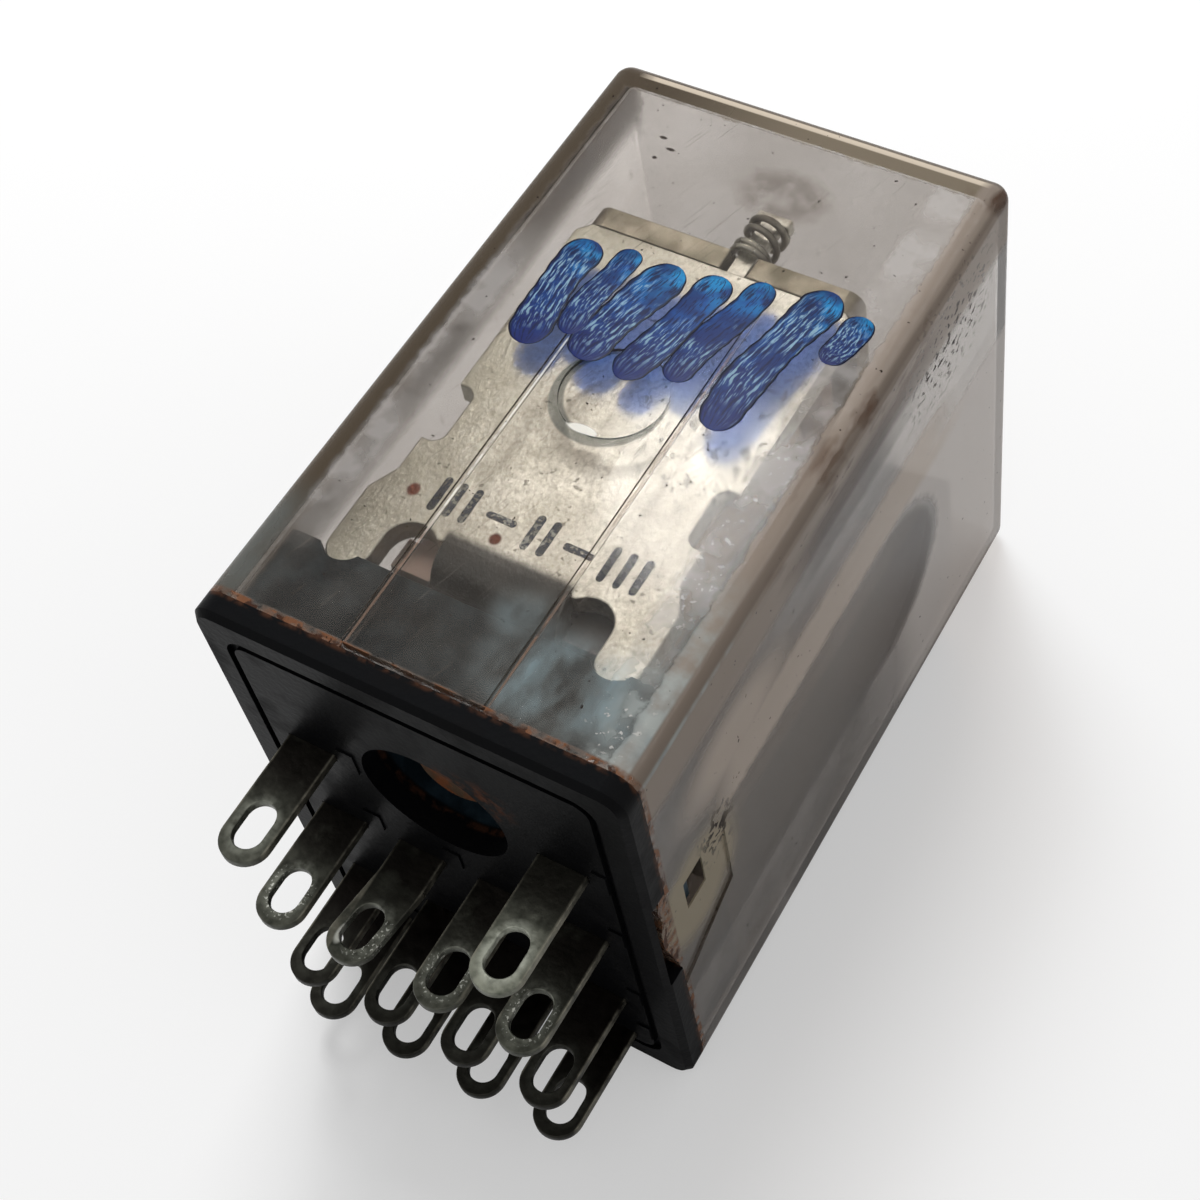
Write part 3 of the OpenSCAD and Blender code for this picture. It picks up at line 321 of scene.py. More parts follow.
    # The thinned panel round the right snap window is bleached, but not the window's cut faces
    bleached = product(where, band(where, "X", 10.45, 10.52),
                       spot(where, (10.7, 3.6, 0.7), (1.2, 3.5, 3.9), 0.35))
    # A painted brown shadow lies on the front above the spring
    shadow_patch = product(where, front, cloud(where, 1.5, 0.2, 0.5), oval(ragged, 1.2, 30.9, 2.3, 1.5, 0.4))
    # Each coat: its colour, its mask and the share of the clear plastic that it hides
    marks = (
        ("#c1bcb8", veil, 0.5), ("#584d3f", edges, 0.66), ("#8f8371", top_edge, 0.64),
        ("#a3968a", right_edge, 0.62), ("#70665d", rims, 0.37), ("#b3aca6", behind, 0.4),
        ("#e4dcd6", upper, 0.66), ("#4c4541", film, 0.52), ("#544a44", shade, 0.45),
        ("#d6c7b9", lit_band, 0.66), ("#a0b6bc", fog, 0.5), ("#b9c0bd", frost, 0.55),
        ("#5f534a", shadow_patch, 0.5), ("#8a7e73", corner_highlight, 0.5),
        ("#b7aa90", bleached, 0.6), ("#f4f3ee", left_line, 0.75), ("#a88c7a", low_line, 0.4),
        ("#a88c7a", right_line, 0.45), ("#4d5350", ring, 0.65), ("#f6f4ec", glint, 0.85),
        ("#5a4030", corner, 0.6), ("#7c5238", foot, 0.8), ("#3c251a", crust, 0.9),
        ("#e2d3bf", highlight_stripe, 0.8), ("#e8e6e2", crystals, 0.6), ("#1a100b", grit, 0.95))
    colour = coats(where, "#94897d", *(mark[:2] for mark in marks))
    haze = largest(where, product(where, side, props.side_haze), product(where, dust, 2 * props.haze),
                   product(where, scratch, 0.2),
                   *(product(where, mask, share) for _, mask, share in marks))
    clear = node("BsdfPrincipled", {
        "Base Color": props.tint, "IOR": 1.45, "Transmission Weight": 1.0, "Specular Tint": "#808080",
        "Roughness": node("MapRange", {"Value": side, "To Min": 0.08, "To Max": 0.15})})
    dust_and_painted_light = node("BsdfPrincipled", {"Base Color": colour, "Roughness": 0.7, "Specular IOR Level": 0.15})
    body = node("MixShader", {"Fac": haze, 1: clear, 2: dust_and_painted_light})
    # Lamps and soft light shine through the plastic, which keeps what stands inside lit
    ray = node("LightPath").node.outputs
    lit = largest(where, ray["Is Shadow Ray"], ray["Is Diffuse Ray"])
    through = node("BsdfTransparent", {"Color": "#cdc5be"})
    node("OutputMaterial", {
        "Surface": node("MixShader", {"Fac": lit, 1: body, 2: through}),
        "Volume": node("VolumeAbsorption", {"Color": "#a58468", "Density": props.smoke})})
    return made


def black_phenolic():
    """Phenolic compound, pressed: near black, a little glossy, with brown dust and rusty crumbs."""
    made, node, where = new_material("black phenolic moulding")
    dust = cloud(where, 2.4, 0.5, 0.8)
    # Rusty crumbs lie round the well and rusty dirt along the flange, and the underside is painted
    # darker as shade
    crumbs = product(where, spot(where, (2.2, 0.2, 8.2), (1.9, 1.6, 1.2), 0.6),
                     cloud(where, 0.7, 0.46, 0.62, detail=8.0))
    edge = product(where, band(where, "Y", 0.98, 1.2), band(where, "Y", 1.5, 1.3),
                   cloud(where, 0.5, 0.42, 0.6))
    beneath = band(where, "Y", 0.5, 0.1)
    plug = band(where, "Y", 1.4, 1.6)
    node("OutputMaterial", {"Surface": node("BsdfPrincipled", {
        "Base Color": coats(where, "#08090b", ("#2a2622", dust, 0.12), ("#040405", beneath, 0.6),
                            ("#18242b", plug), ("#415562", plug, cloud(where, 1.6, 0.45, 0.7), 0.55),
                            ("#4a3022", edge, 0.7), ("#66391f", crumbs, 0.8)),
        "Specular IOR Level": 0.05,
        "Roughness": node("MapRange", {"Value": dust, "To Min": 0.42, "To Max": 0.65}),
        "Normal": node("Bump", {"Height": cloud(where, 0.3, 0.4, 0.65), "Distance": 0.005 * MM})})})
    return made


def dark_moulding(name, colour, rim_light_and_dust=0.0):
    """Glass-filled moulding of an insulating piece: dark and even, with a dull shine. A pale band may
    lie along its front rim, painted light on its lip with some dust."""
    made, node, where = new_material(name)
    grain = cloud(where, 0.25, 0.4, 0.65)
    rim = product(where, band(where, "Z", -1.2, -0.4), rim_light_and_dust)
    node("OutputMaterial", {"Surface": node("BsdfPrincipled", {
        "Base Color": coats(where, colour, ("#4a4640", grain, 0.25), ("#a39684", rim)),
        "Roughness": 0.5, "Specular IOR Level": 0.3,
        "Normal": node("Bump", {"Height": grain, "Distance": 0.01 * MM})})})
    return made


def zinc_plated_steel():
    """Steel sheet, pressed and zinc plated: pale silver-cream with a crinkled skin that glitters,
    dark flecks and grains of rust. Its left part and the neck under the relief slots are painted
    dark as shade."""
    made, node, where = new_material("zinc plated steel sheet")
    crinkle = cloud(where, 0.2, 0.3, 0.7, stretch=(1, 1.4, 1), detail=6.0)
    sand = cloud(where, 0.22, 0.46, 0.6, stretch=(1, 1.3, 1), detail=2.0)
    flecks = cloud(where, 0.5, 0.66, 0.71)
    scuffs = product(where, spot(where, (4.5, 18.5, YOKE_Z), (3.5, 4.0, 1.5), 0.5),
                     cloud(where, 0.45, 0.58, 0.63, stretch=(1, 2, 1), turn=(0, 0, -30)))
    rust = largest(where, cloud(where, 0.8, 0.76, 0.79),
                   spot(where, (-5.9, 10.0, YOKE_Z), (0.3, 0.35, 1.0)),
                   spot(where, (-1.2, 9.3, YOKE_Z), (0.28, 0.3, 1.0)))
    inner = product(where, band(where, "X", -3.4, -3.1), band(where, "X", 3.4, 3.1))
    neck = product(where, band(where, "Y", 9.1, 8.5), inner)
    # The left part and the neck below the relief slots are painted darker as shade
    node("OutputMaterial", {"Surface": node("BsdfPrincipled", {
        "Base Color": coats(where, "#e4e4da", ("#b9b7a9", cloud(where, 2.5, 0.4, 0.7), 0.6),
                            ("#8b8a7d", band(where, "X", 0.0, -8.0), 0.75), ("#a3a193", sand, 0.4),
                            ("#6a675c", largest(where, flecks, scuffs), 0.75), ("#5c2c1a", rust),
                            ("#24282b", neck, 0.93)),
        "Metallic": 0.92,
        "Roughness": node("MapRange", {"Value": cloud(where, 0.7, 0.3, 0.7),
                                       "To Min": 0.28, "To Max": 0.42}),
        "Normal": node("Bump", {"Height": crinkle, "Distance": 0.013 * MM})})})
    return made


def bare_metal(name, light, dark, roughness, stain="#3c332b", stained=0.0):
    """Rolled, drawn or turned metal: two close tones in soft clouds, a fine grain and a stain."""
    made, node, where = new_material(name)
    tone = cloud(where, 1.8, 0.35, 0.65)
    node("OutputMaterial", {"Surface": node("BsdfPrincipled", {
        "Base Color": coats(where, light, (dark, tone), (stain, cloud(where, 1.1, 0.48, 0.6), stained)),
        "Metallic": 1.0,
        "Roughness": node("MapRange", {"Value": tone, "To Min": roughness - 0.06,
                                       "To Max": roughness + 0.1}),
        "Normal": node("Bump", {"Height": cloud(where, 0.12, 0.35, 0.65), "Distance": 0.005 * MM})})})
    return made


def tinned_brass(name, grime_and_shade):
    """Brass strip, stamped and tinned: grey-green and mottled, darker towards the base and worn
    brighter round the eyelet, with painted highlights along its long edges. Grime, from 0 to 1,
    darkens the whole blade: painted shade as well as grime."""
    made, node, where = new_material(name)
    mottle = cloud(where, 0.6, 0.35, 0.68, detail=6.0)
    # How far aside of its own blade's middle a point lies, whichever pole it belongs to
    place = node("SeparateXYZ", {"Vector": where}).node.outputs
    half = COLUMN_PITCH / 2 * MM
    across = node("Math", {0: place["X"], 1: half, 2: -half}, operation="WRAP")
    aside = node("Math", {0: node("Math", {0: across}, operation="ABSOLUTE"), 1: half},
                 operation="SUBTRACT")
    # The ring round the eyelet is longer than wide, so lengths along the blade count for less
    along = node("Math", {0: place["Y"], 1: EYELET_Y * MM}, operation="SUBTRACT")
    less = node("Math", {0: along, 1: 0.72}, operation="MULTIPLY")
    reach = node("VectorMath", {0: node("CombineXYZ", {"X": aside, "Y": less})}, operation="LENGTH")
    rim = node("MapRange", {"Value": reach, "From Min": 1.2 * MM, "From Max": 0.9 * MM})
    root = product(where, band(where, "Y", -4.6, -1.4), cloud(where, 1.6, 0.1, 0.45))
    # A painted highlight runs along each blade's long edges
    edge_highlight = node("MapRange", {"Value": node("Math", {0: aside}, operation="ABSOLUTE"),
                            "From Min": 1.12 * MM, "From Max": 1.22 * MM})
    worn = product(where, rim, cloud(where, 0.4, 0.3, 0.6), 1 - grime_and_shade)
    # Crumbs of solder glitter round the common row's eyelets, with one bead on the second blade
    solder = largest(
        where, product(where, rim, band(where, "Z", -1.6, -1.3), cloud(where, 0.14, 0.59, 0.64)),
        spot(where, (-3.2, -5.2, -1.0), (0.24, 0.5, 0.7)))
    solder = product(where, solder, band(where, "Z", 1.0, 0.0), band(where, "Y", -3.4, -3.9))
    node("OutputMaterial", {"Surface": node("BsdfPrincipled", {
        "Base Color": coats(where, "#8c8e80", ("#5c5f54", mottle), ("#15120f", 1.0, grime_and_shade),
                            ("#120d0a", root, 0.9), ("#b9bcae", worn, 0.8),
                            ("#8f8b7c", edge_highlight, cloud(where, 0.8, 0.3, 0.6), 0.6), ("#c9cac0", solder)),
        "Metallic": 0.8, "Specular IOR Level": 0.3,
        "Roughness": node("MapRange", {"Value": mottle, "To Min": 0.3, "To Max": 0.52}),
        "Normal": node("Bump", {"Height": mottle, "Distance": 0.012 * MM})})})
    return made


def marker_ink():
    """Felt-pen ink dried on plastic: blue in streaks along the stroke, darker at its lower end and
    round its rim, thin enough between the streaks to see through, where pale highlights are painted.
    Light that falls through it or comes back from the yoke is blue."""
    made, node, where = new_material("blue marker ink")
    uv = node("UVMap", uv_map="Along")
    drawn = node("VectorMath", {0: uv, 1: (8.0, 40.0, 1.0)}, operation="MULTIPLY")
    streak = node("TexNoise", {"Vector": drawn, "Scale": 1.0, "Detail": 3.0, "Roughness": 0.65})
    place = node("SeparateXYZ", {"Vector": uv})
    middle = product(where, node("MapRange", {"Value": place, "From Min": 0.1, "From Max": 0.3}),
                     node("MapRange", {"Value": place, "From Min": 0.95, "From Max": 0.6}))
    # The gaps between the streaks are painted pale as highlights
    gap_highlight = product(where, middle, node("MapRange", {"Value": streak, "From Min": 0.54, "From Max": 0.59}),
                  cloud(where, 3.2, 0.44, 0.54))
    vein = node("MapRange", {"Value": streak, "From Min": 0.47, "From Max": 0.42})
    turn = node("Math", {0: place.node.outputs["Y"], 1: 2 * math.pi}, operation="MULTIPLY")
    wide = node("Math", {0: node("Math", {0: turn}, operation="COSINE")}, operation="ABSOLUTE")
    rim = node("MapRange", {"Value": wide, "From Min": 0.86, "From Max": 0.92})
    low_end = node("MapRange", {"Value": place, "From Min": 0.35, "From Max": 0.9})
    high_end = node("MapRange", {"Value": place, "From Min": 0.4, "From Max": 0.05})
    blot = cloud(where, 1.3, 0.42, 0.58)
    solid = node("BsdfPrincipled", {
        "Base Color": coats(where, "#174a8c", ("#1b8ac4", high_end, cloud(where, 0.9, 0.35, 0.55)),
                            ("#10285e", blot, 0.8), ("#131a5a", low_end, 0.85), ("#0b163c", vein, 0.9),
                            ("#b4dcec", gap_highlight, 0.9), ("#060b22", rim)),
        "Roughness": 0.25, "IOR": 1.5, "Specular IOR Level": 0.12})
    film = node("BsdfTransparent", {"Color": "#a2bcf0"})
    thin = product(where, gap_highlight, 0.4, node("MapRange", {"Value": rim, "To Min": 1.0, "To Max": 0.1}))
    ray = node("LightPath").node.outputs
    passing = product(where, largest(where, ray["Is Shadow Ray"], ray["Is Glossy Ray"]), 0.8)
    node("OutputMaterial", {"Surface": node("MixShader", {
        "Fac": largest(where, thin, passing), 1: solid, 2: film})})
    return made


def stamp_ink():
    """Rubber-stamp ink on plated steel: dark blue-grey and worn through in spots."""
    made, node, where = new_material("worn stamping ink")
    solid = node("BsdfPrincipled", {"Base Color": "#56637a", "Roughness": 0.6})
    film = node("BsdfTransparent", {"Color": "#ccd0d4"})
    node("OutputMaterial", {"Surface": node("MixShader", {
        "Fac": largest(where, cloud(where, 0.2, 0.42, 0.6), 0.42), 1: solid, 2: film})})
    return made


def soft_plastic(name, light, dark, stained=0.0):
    """Moulded nylon or wrapped film: pale, cloudy and satin, with light inside it. The foot on the
    right may be painted dark as shade."""
    made, node, where = new_material(name)
    # The dark patch on the right foot is painted shade
    stain = product(where, spot(where, (4.4, 8.4, 10.6), (1.9, 1.9, 1.6), 0.3), stained)
    node("OutputMaterial", {"Surface": node("BsdfPrincipled", {
        "Base Color": coats(where, light, (dark, cloud(where, 2.5, 0.35, 0.65)), ("#1d1f24", stain)),
        "Roughness": 0.42, "Subsurface Weight": 0.15, "Subsurface Scale": 0.4 * MM,
        "Normal": node("Bump", {"Height": cloud(where, 0.3, 0.35, 0.65), "Distance": 0.006 * MM})})})
    return made


def studio_board():
    """Matt painted board: white to the eye and in gloss and glass, with the relay's soft shadow."""
    made, node, where = new_material("matt white studio board")
    light = node("LightPath").node.outputs
    colour = coats(where, "#a8a8a8", ("#ffffff", eye_rays(light)))
    node("OutputMaterial", {"Surface": node("MixShader", {
        "Fac": product(where, light["Is Camera Ray"], 0.4), 1: node("BsdfDiffuse", {"Color": colour}),
        2: node("Emission", {"Color": "#ffffff"})})})
    return made


# Meshes worked out as grids of points


def smooth_path(points, steps):
    """Catmull-Rom curve through points, with steps pieces between each two. Between b and c it is
    p(u) = (2b + (c - a)u + (2a - 5b + 4c - d)u^2 + (3b - a - 3c + d)u^3) / 2."""
    p = np.asarray(points, float)
    around = [np.clip(np.arange(len(p) - 1) + k, 0, len(p) - 1) for k in (-1, 0, 1, 2)]
    a, b, c, d = (p[k][:, None] for k in around)
    u = (np.arange(steps) / steps)[None, :, None]
    curve = (2 * b + (c - a) * u + (2 * a - 5 * b + 4 * c - d) * u**2
             + (3 * b - a - 3 * c + d) * u**3) / 2
    return np.vstack([curve.reshape(-1, 3), p[-1:]])


def run_along(path):
    """Length from a path's start to each of its points."""
    return np.r_[0, np.cumsum(np.linalg.norm(np.diff(path, axis=0), axis=1))]


def path_frame(path, ref):
    """Two unit normals along a path: ref made square to the tangent, and tangent x that."""
    tangent = np.gradient(path, axis=0)
    tangent /= np.linalg.norm(tangent, axis=1, keepdims=True)
    ref = np.asarray(ref, float)
    first = ref - (tangent @ ref)[:, None] * tangent
    first /= np.linalg.norm(first, axis=1, keepdims=True)
    return first, np.cross(tangent, first)


def tube_grid(path, radius, sides, ref):
    """Round bar along a path: p(i, q) = path(i) + r(i) (cos q * first(i) + sin q * second(i))."""
    first, second = path_frame(path, ref)
    turn = 2 * np.pi * np.arange(sides) / sides
    reach = np.broadcast_to(np.asarray(radius, float), len(path))[:, None, None]
    ring = np.cos(turn)[None, :, None] * first[:, None] + np.sin(turn)[None, :, None] * second[:, None]
    return path[:, None] + reach * ring


def stroke_grid(knots, half_width, lift, thick, surface):
    """One broad stroke laid on a surface z = surface(y): p(s, q) = line(s) + w(s) cos q * side(s)
    + thick sin q * out. The ends are round: w(s) = half_width * sqrt(1 - e(s)^2), where e(s) rises
    from 0 to nearly 1 over the last half_width of the line, and the rim wavers a little."""
    line = smooth_path([(x, y, 0.0) for x, y in knots], steps=40)
    run = run_along(line)
    e = np.clip(1 - np.minimum(run, run[-1] - run) / half_width, 0, 0.985)
    waver = 1 + 0.06 * np.sin(1.3 * run + knots[0][0]) + 0.02 * np.sin(7.0 * run + knots[0][1])
    tangent = np.gradient(line, axis=0)
    tangent /= np.linalg.norm(tangent, axis=1, keepdims=True)
    side = np.stack([tangent[:, 1], -tangent[:, 0], 0 * run], axis=1)
    sides = 28
    turn = 2 * np.pi * np.arange(sides) / sides
    width = half_width * np.sqrt(1 - e**2) * waver
    flat = line[:, None] + (width[:, None] * np.cos(turn))[:, :, None] * side[:, None]
    flat[:, :, 2] = surface(flat[:, :, 1]) + lift + thick * np.sin(turn)
    return flat


def grid_mesh(name, grids, material, body=None, uv=False):
    """One piece from grids of points (rows, columns, xyz) in millimetres. Each is closed round its
    columns and capped at its first and last row. With uv, U runs along the rows, V round them."""
    points, faces, maps, start = [], [], [], 0
    for grid in grids:
        rows, cols = grid.shape[:2]
        index = start + np.arange(rows * cols).reshape(rows, cols)
        right = np.roll(index, -1, axis=1)
        quads = np.stack([index[:-1], right[:-1], right[1:], index[1:]], axis=-1).reshape(-1, 4)
        faces += quads.tolist() + [index[0][::-1].tolist(), index[-1].tolist()]
        points.append(grid.reshape(-1, 3))
        along, around = np.meshgrid(np.arange(rows) / (rows - 1), np.arange(cols) / cols, indexing="ij")
        maps.append(np.stack([along.ravel(), around.ravel()], axis=1))
        start += rows * cols
    mesh = bpy.data.meshes.new(name)
    mesh.from_pydata((np.vstack(points) * MM).tolist(), [], faces)
    if uv:
        corners = np.zeros(len(mesh.loops), np.int32)
        mesh.loops.foreach_get("vertex_index", corners)
        layer = mesh.uv_layers.new(name="Along")
        layer.data.foreach_set("uv", np.vstack(maps)[corners].astype(np.float32).ravel())
    mesh.polygons.foreach_set("use_smooth", np.ones(len(mesh.polygons), bool))
    mesh.materials.append(material)
    made = bpy.data.objects.new(name, mesh)
    bpy.context.scene.collection.objects.link(made)
    if body is not None:
        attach(made, body)
    return made


# What a user of the script can change


class RelayStageSettings(bpy.types.PropertyGroup):
    """Camera, light and floor"""

    lens: FloatProperty(
        name="Lens", description="Focal length on a 36 mm sensor", default=67.43, min=20, max=200)
    roll: FloatProperty(
        name="Roll", description="Turn of the camera about its own axis",
        default=math.radians(-13.64), subtype="ANGLE")
    key_power: FloatProperty(
        name="Key Light", description="Power of the soft light over the relay in watts",
        default=0.72, min=0, unit="POWER")
    fill_power: FloatProperty(
        name="Fill Light", description="Power of the wide light from the right in watts",
        default=0.16, min=0, unit="POWER")
    glint_power: FloatProperty(
        name="Glint", description="Power of the small lamp that shines on the yoke in watts",
        default=0.075, min=0, unit="POWER")
    sky: FloatProperty(
        name="Sky", description="Strength of the even light from all round", default=0.34, min=0)


class RelayCoverSettings(bpy.types.PropertyGroup):
    """Clear cover"""

    tint: FloatVectorProperty(
        name="Tint", description="Colour of light that has passed one face of the plastic",
        default=linear("#f0edea"), size=4, min=0, max=1, subtype="COLOR")
    haze: FloatProperty(
        name="Haze", description="Share of the cover that dust makes cloudy",
        default=0.05, min=0, max=0.5, subtype="FACTOR")
    side_haze: FloatProperty(
        name="Side Haze", description="Share of the side walls that scuffs make cloudy",
        default=0.18, min=0, max=1, subtype="FACTOR")
    smoke: FloatProperty(
        name="Smoke", description="How strongly the plastic swallows light, per metre",
        default=48.0, min=0)
    edge: FloatProperty(
        name="Edge", description="Radius of the rounded edge at the top", default=0.3 * MM,
        min=0.05 * MM, max=0.6 * MM, unit="LENGTH")


class RelayMarkSettings(bpy.types.PropertyGroup):
    """Marker strokes on the cover and stamped bars on the yoke"""

    stroke_width: FloatProperty(
        name="Stroke Width", description="Width of a marker stroke", default=1.8 * MM,
        min=0.2 * MM, unit="LENGTH")
    stamp_height: FloatProperty(
        name="Stamp Height", description="Height of the stamped bars", default=1.9 * MM,
        min=0.2 * MM, unit="LENGTH")


class RelayWireSettings(bpy.types.PropertyGroup):
    """Flexible leads"""

    strands: IntProperty(
        name="Strands", description="Strands round the middle one in a flexible lead",
        default=6, min=3, max=12)
    lay_length: FloatProperty(
        name="Lay", description="Length in which a strand goes once round its lead",
        default=2.6 * MM, min=0.5 * MM, unit="LENGTH")


# One operator for each piece or group of like pieces


class RELAY_OT_stage(bpy.types.Operator):
    """Makes the camera, the lights, the sky and the floor"""

    bl_idname = "relay.stage"
    bl_label = "Stage"

    def execute(self, context):
        props = context.scene.relay_stage
        scene = context.scene
        # The camera stands where the photo was taken from, and looks at a point of the front face
        eye = Vector((39.80, -30.48, 89.88)) * MM
        aim = Vector((5.07, 7.94, 14.0)) * MM
        data = bpy.data.cameras.new("camera")
        data.lens = props.lens
        data.sensor_width = 36.0
        data.clip_start, data.clip_end = 0.001, 5.0
        camera = bpy.data.objects.new("camera", data)
        camera.location = eye
        camera.rotation_mode = "QUATERNION"
        level = (aim - eye).to_track_quat("-Z", "Y")
        camera.rotation_quaternion = level @ Quaternion((0, 0, 1), props.roll)
        scene.collection.objects.link(camera)
        scene.camera = camera

        # Each lamp's name, place, target, width, power, and whether it shows in reflections. The
        # wide ones don't, so that only the small one shines on the yoke
        lamps = (
            ("key", (-0.10, 0.17, 0.28), (0.003, 0.017, 0.012), 0.16, props.key_power, False),
            ("fill", (0.36, 0.05, 0.20), (0.0, 0.015, 0.0), 0.30, props.fill_power, False),
            ("glint", (-0.103, 0.168, 0.262), (0.006, 0.0165, 0.0123), 0.04, props.glint_power, True),
        )
        for name, place, target, size, power, shines in lamps:
            lamp = bpy.data.lights.new(name, "AREA")
            lamp.shape = "DISK"
            lamp.size = size
            lamp.energy = power
            stand = bpy.data.objects.new(name, lamp)
            stand.visible_glossy = stand.visible_transmission = shines
            stand.location = place
            stand.rotation_mode = "QUATERNION"
            stand.rotation_quaternion = (Vector(target) - Vector(place)).to_track_quat("-Z", "Y")
            scene.collection.objects.link(stand)

        world = bpy.data.worlds.new("soft studio")
        world.use_nodes = True
        tree = world.node_tree
        tree.nodes.clear()
        seen = eye_rays(add(tree, "LightPath").node.outputs)
        level = add(tree, "MapRange", {"Value": seen, "To Min": props.sky, "To Max": 1.0})
        sky = add(tree, "Background", {"Color": "#ffffff", "Strength": level})
        add(tree, "OutputWorld", {"Surface": sky})
        scene.world = world
        scene.view_settings.view_transform = "Standard"

        # The relay lies on a board four metres wide
        half, floor_z = 2.0, CAD_BOX[0].z
        mesh = bpy.data.meshes.new("floor")
        mesh.from_pydata([(-half, -half, floor_z), (half, -half, floor_z), (half, half, floor_z),
                          (-half, half, floor_z)], [], [(0, 1, 2, 3)])
        mesh.materials.append(studio_board())
        floor = bpy.data.objects.new("floor", mesh)
        scene.collection.objects.link(floor)
        return {"FINISHED"}


class RELAY_OT_base(bpy.types.Operator):
    """Gives the base its black moulding"""

    bl_idname = "relay.base"
    bl_label = "Base"

    def execute(self, context):
        dress(black_phenolic(), "base")
        return {"FINISHED"}


class RELAY_OT_blades(bpy.types.Operator):
    """Gives the fourteen terminals their tinned brass"""

    bl_idname = "relay.blades"
    bl_label = "Blades"

    def execute(self, context):
        # The three copies of the finish, each darker than the last, paint the blades' shade as well as
        # their grime
        dress(tinned_brass("tinned brass, worn", 0.2), "coil_terminal_right", edge=0.05)
        dress(tinned_brass("tinned brass, dulled_and_shaded", 0.68), "coil_terminal_left",
              *(f"common_terminal_{i}" for i in POLES), edge=0.05)
        dress(tinned_brass("tinned brass, grimy_and_shaded", 0.93), *(f"no_terminal_{i}" for i in POLES),
              *(f"nc_terminal_{i}" for i in POLES), edge=0.05)
        return {"FINISHED"}


class RELAY_OT_magnet(bpy.types.Operator):
    """Gives the yoke, the core, its washer and the armature their metals"""

    bl_idname = "relay.magnet"
    bl_label = "Yoke and Armature"

    def execute(self, context):
        dress(zinc_plated_steel(), "yoke", edge=0.08)
        dress(bare_metal("annealed soft iron", "#aca797", "#8d8876", 0.45, "#7a6a58", 0.3),
              "armature", edge=0.06)
        dress(bare_metal("tarnished soft iron", "#5c4a38", "#3a2c20", 0.55, "#6f3f22", 0.8), "core")
        dress(bare_metal("rusty steel", "#5e3d26", "#352016", 0.7, "#1c120d", 1.0), "core_washer")
        return {"FINISHED"}


class RELAY_OT_coil(bpy.types.Operator):
    """Gives the bobbin, winding, tape and coil leads their finishes"""

    bl_idname = "relay.coil"
    bl_label = "Coil"

    def execute(self, context):
        dress(soft_plastic("moulded nylon", "#e3d4cf", "#cbb9b4", 0.95), "bobbin")
        dress(soft_plastic("polyester tape", "#d2bea6", "#b9a489"), "coil_tape")
        dress(bare_metal("enamelled copper wire", "#9a5526", "#6f3717", 0.3), "coil_winding",
              "coil_lead_left", "coil_lead_right")
        return {"FINISHED"}


class RELAY_OT_contacts(bpy.types.Operator):
    """Gives the contact block, carrier, moving springs and contacts their finishes"""

    bl_idname = "relay.contacts"
    bl_label = "Contacts"

    def execute(self, context):
        # The block's front rim is painted paler, as light on its lip
        dress(dark_moulding("grey contact block moulding", "#3c3936", 0.55), "contact_block")
        dress(dark_moulding("brown carrier moulding", "#2b2421"), "contact_carrier")
        dress(bare_metal("phosphor bronze leaf", "#c28f58", "#96683c", 0.3),
              *(f"moving_spring_{i}" for i in POLES))
        dress(bare_metal("silver contact metal", "#d9d7cf", "#aaa79c", 0.25),
              *(f"{kind}_contact_{i}" for kind in ("no", "nc", "moving") for i in POLES))
        return {"FINISHED"}


class RELAY_OT_leads(bpy.types.Operator):
    """Makes the four stranded leads between the common terminals and the moving springs"""

    bl_idname = "relay.leads"
    bl_label = "Flexible Leads"

    def execute(self, context):
        props = context.scene.relay_wires
        finish = bare_metal("tarnished copper strand", "#b8754a", "#7c4a30", 0.38)
        # A lead runs up from its blade's tail, bows out to the back and ends on its moving spring
        foot_z, slack_z, top_z = -1.9, -2.9, -1.05
        for i in POLES:
            low, high = box_mm(f"common_lead_{i}")
            radius = (high[0] - low[0]) / 2
            x = (low[0] + high[0]) / 2
            foot_y, top_y = low[1], high[1]
            bow_y = (foot_y + top_y) / 2
            knots = [(x, foot_y, foot_z), (x, foot_y + 1.6, foot_z), (x, foot_y + 3.6, foot_z - 0.4),
                     (x, bow_y - 0.8, slack_z), (x, bow_y + 2.8, slack_z + 0.2),
                     (x, top_y - 1.6, top_z), (x, top_y, top_z)]
            path = smooth_path(knots, steps=22)
            first, second = path_frame(path, (1, 0, 0))
            run = run_along(path)
            # Three strands side by side, with a little air, are as wide as the lead
            strand_r = radius / 3.1
            ring_r = radius - strand_r
            sides = 6
            grids = [tube_grid(path, strand_r, sides, (1, 0, 0))]
            # Each outer strand winds round the path: path + r (cos t * first + sin t * second)
            for k in range(props.strands):
                turn = 2 * np.pi * (k / props.strands + run * MM / props.lay_length)
                line = path + ring_r * (np.cos(turn)[:, None] * first + np.sin(turn)[:, None] * second)
                grids.append(tube_grid(line, strand_r, sides, (1, 0, 0)))
            lead = grid_mesh(f"stranded_lead_{i}", grids, finish)
            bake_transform(lead)
            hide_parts(f"common_lead_{i}")
        return {"FINISHED"}


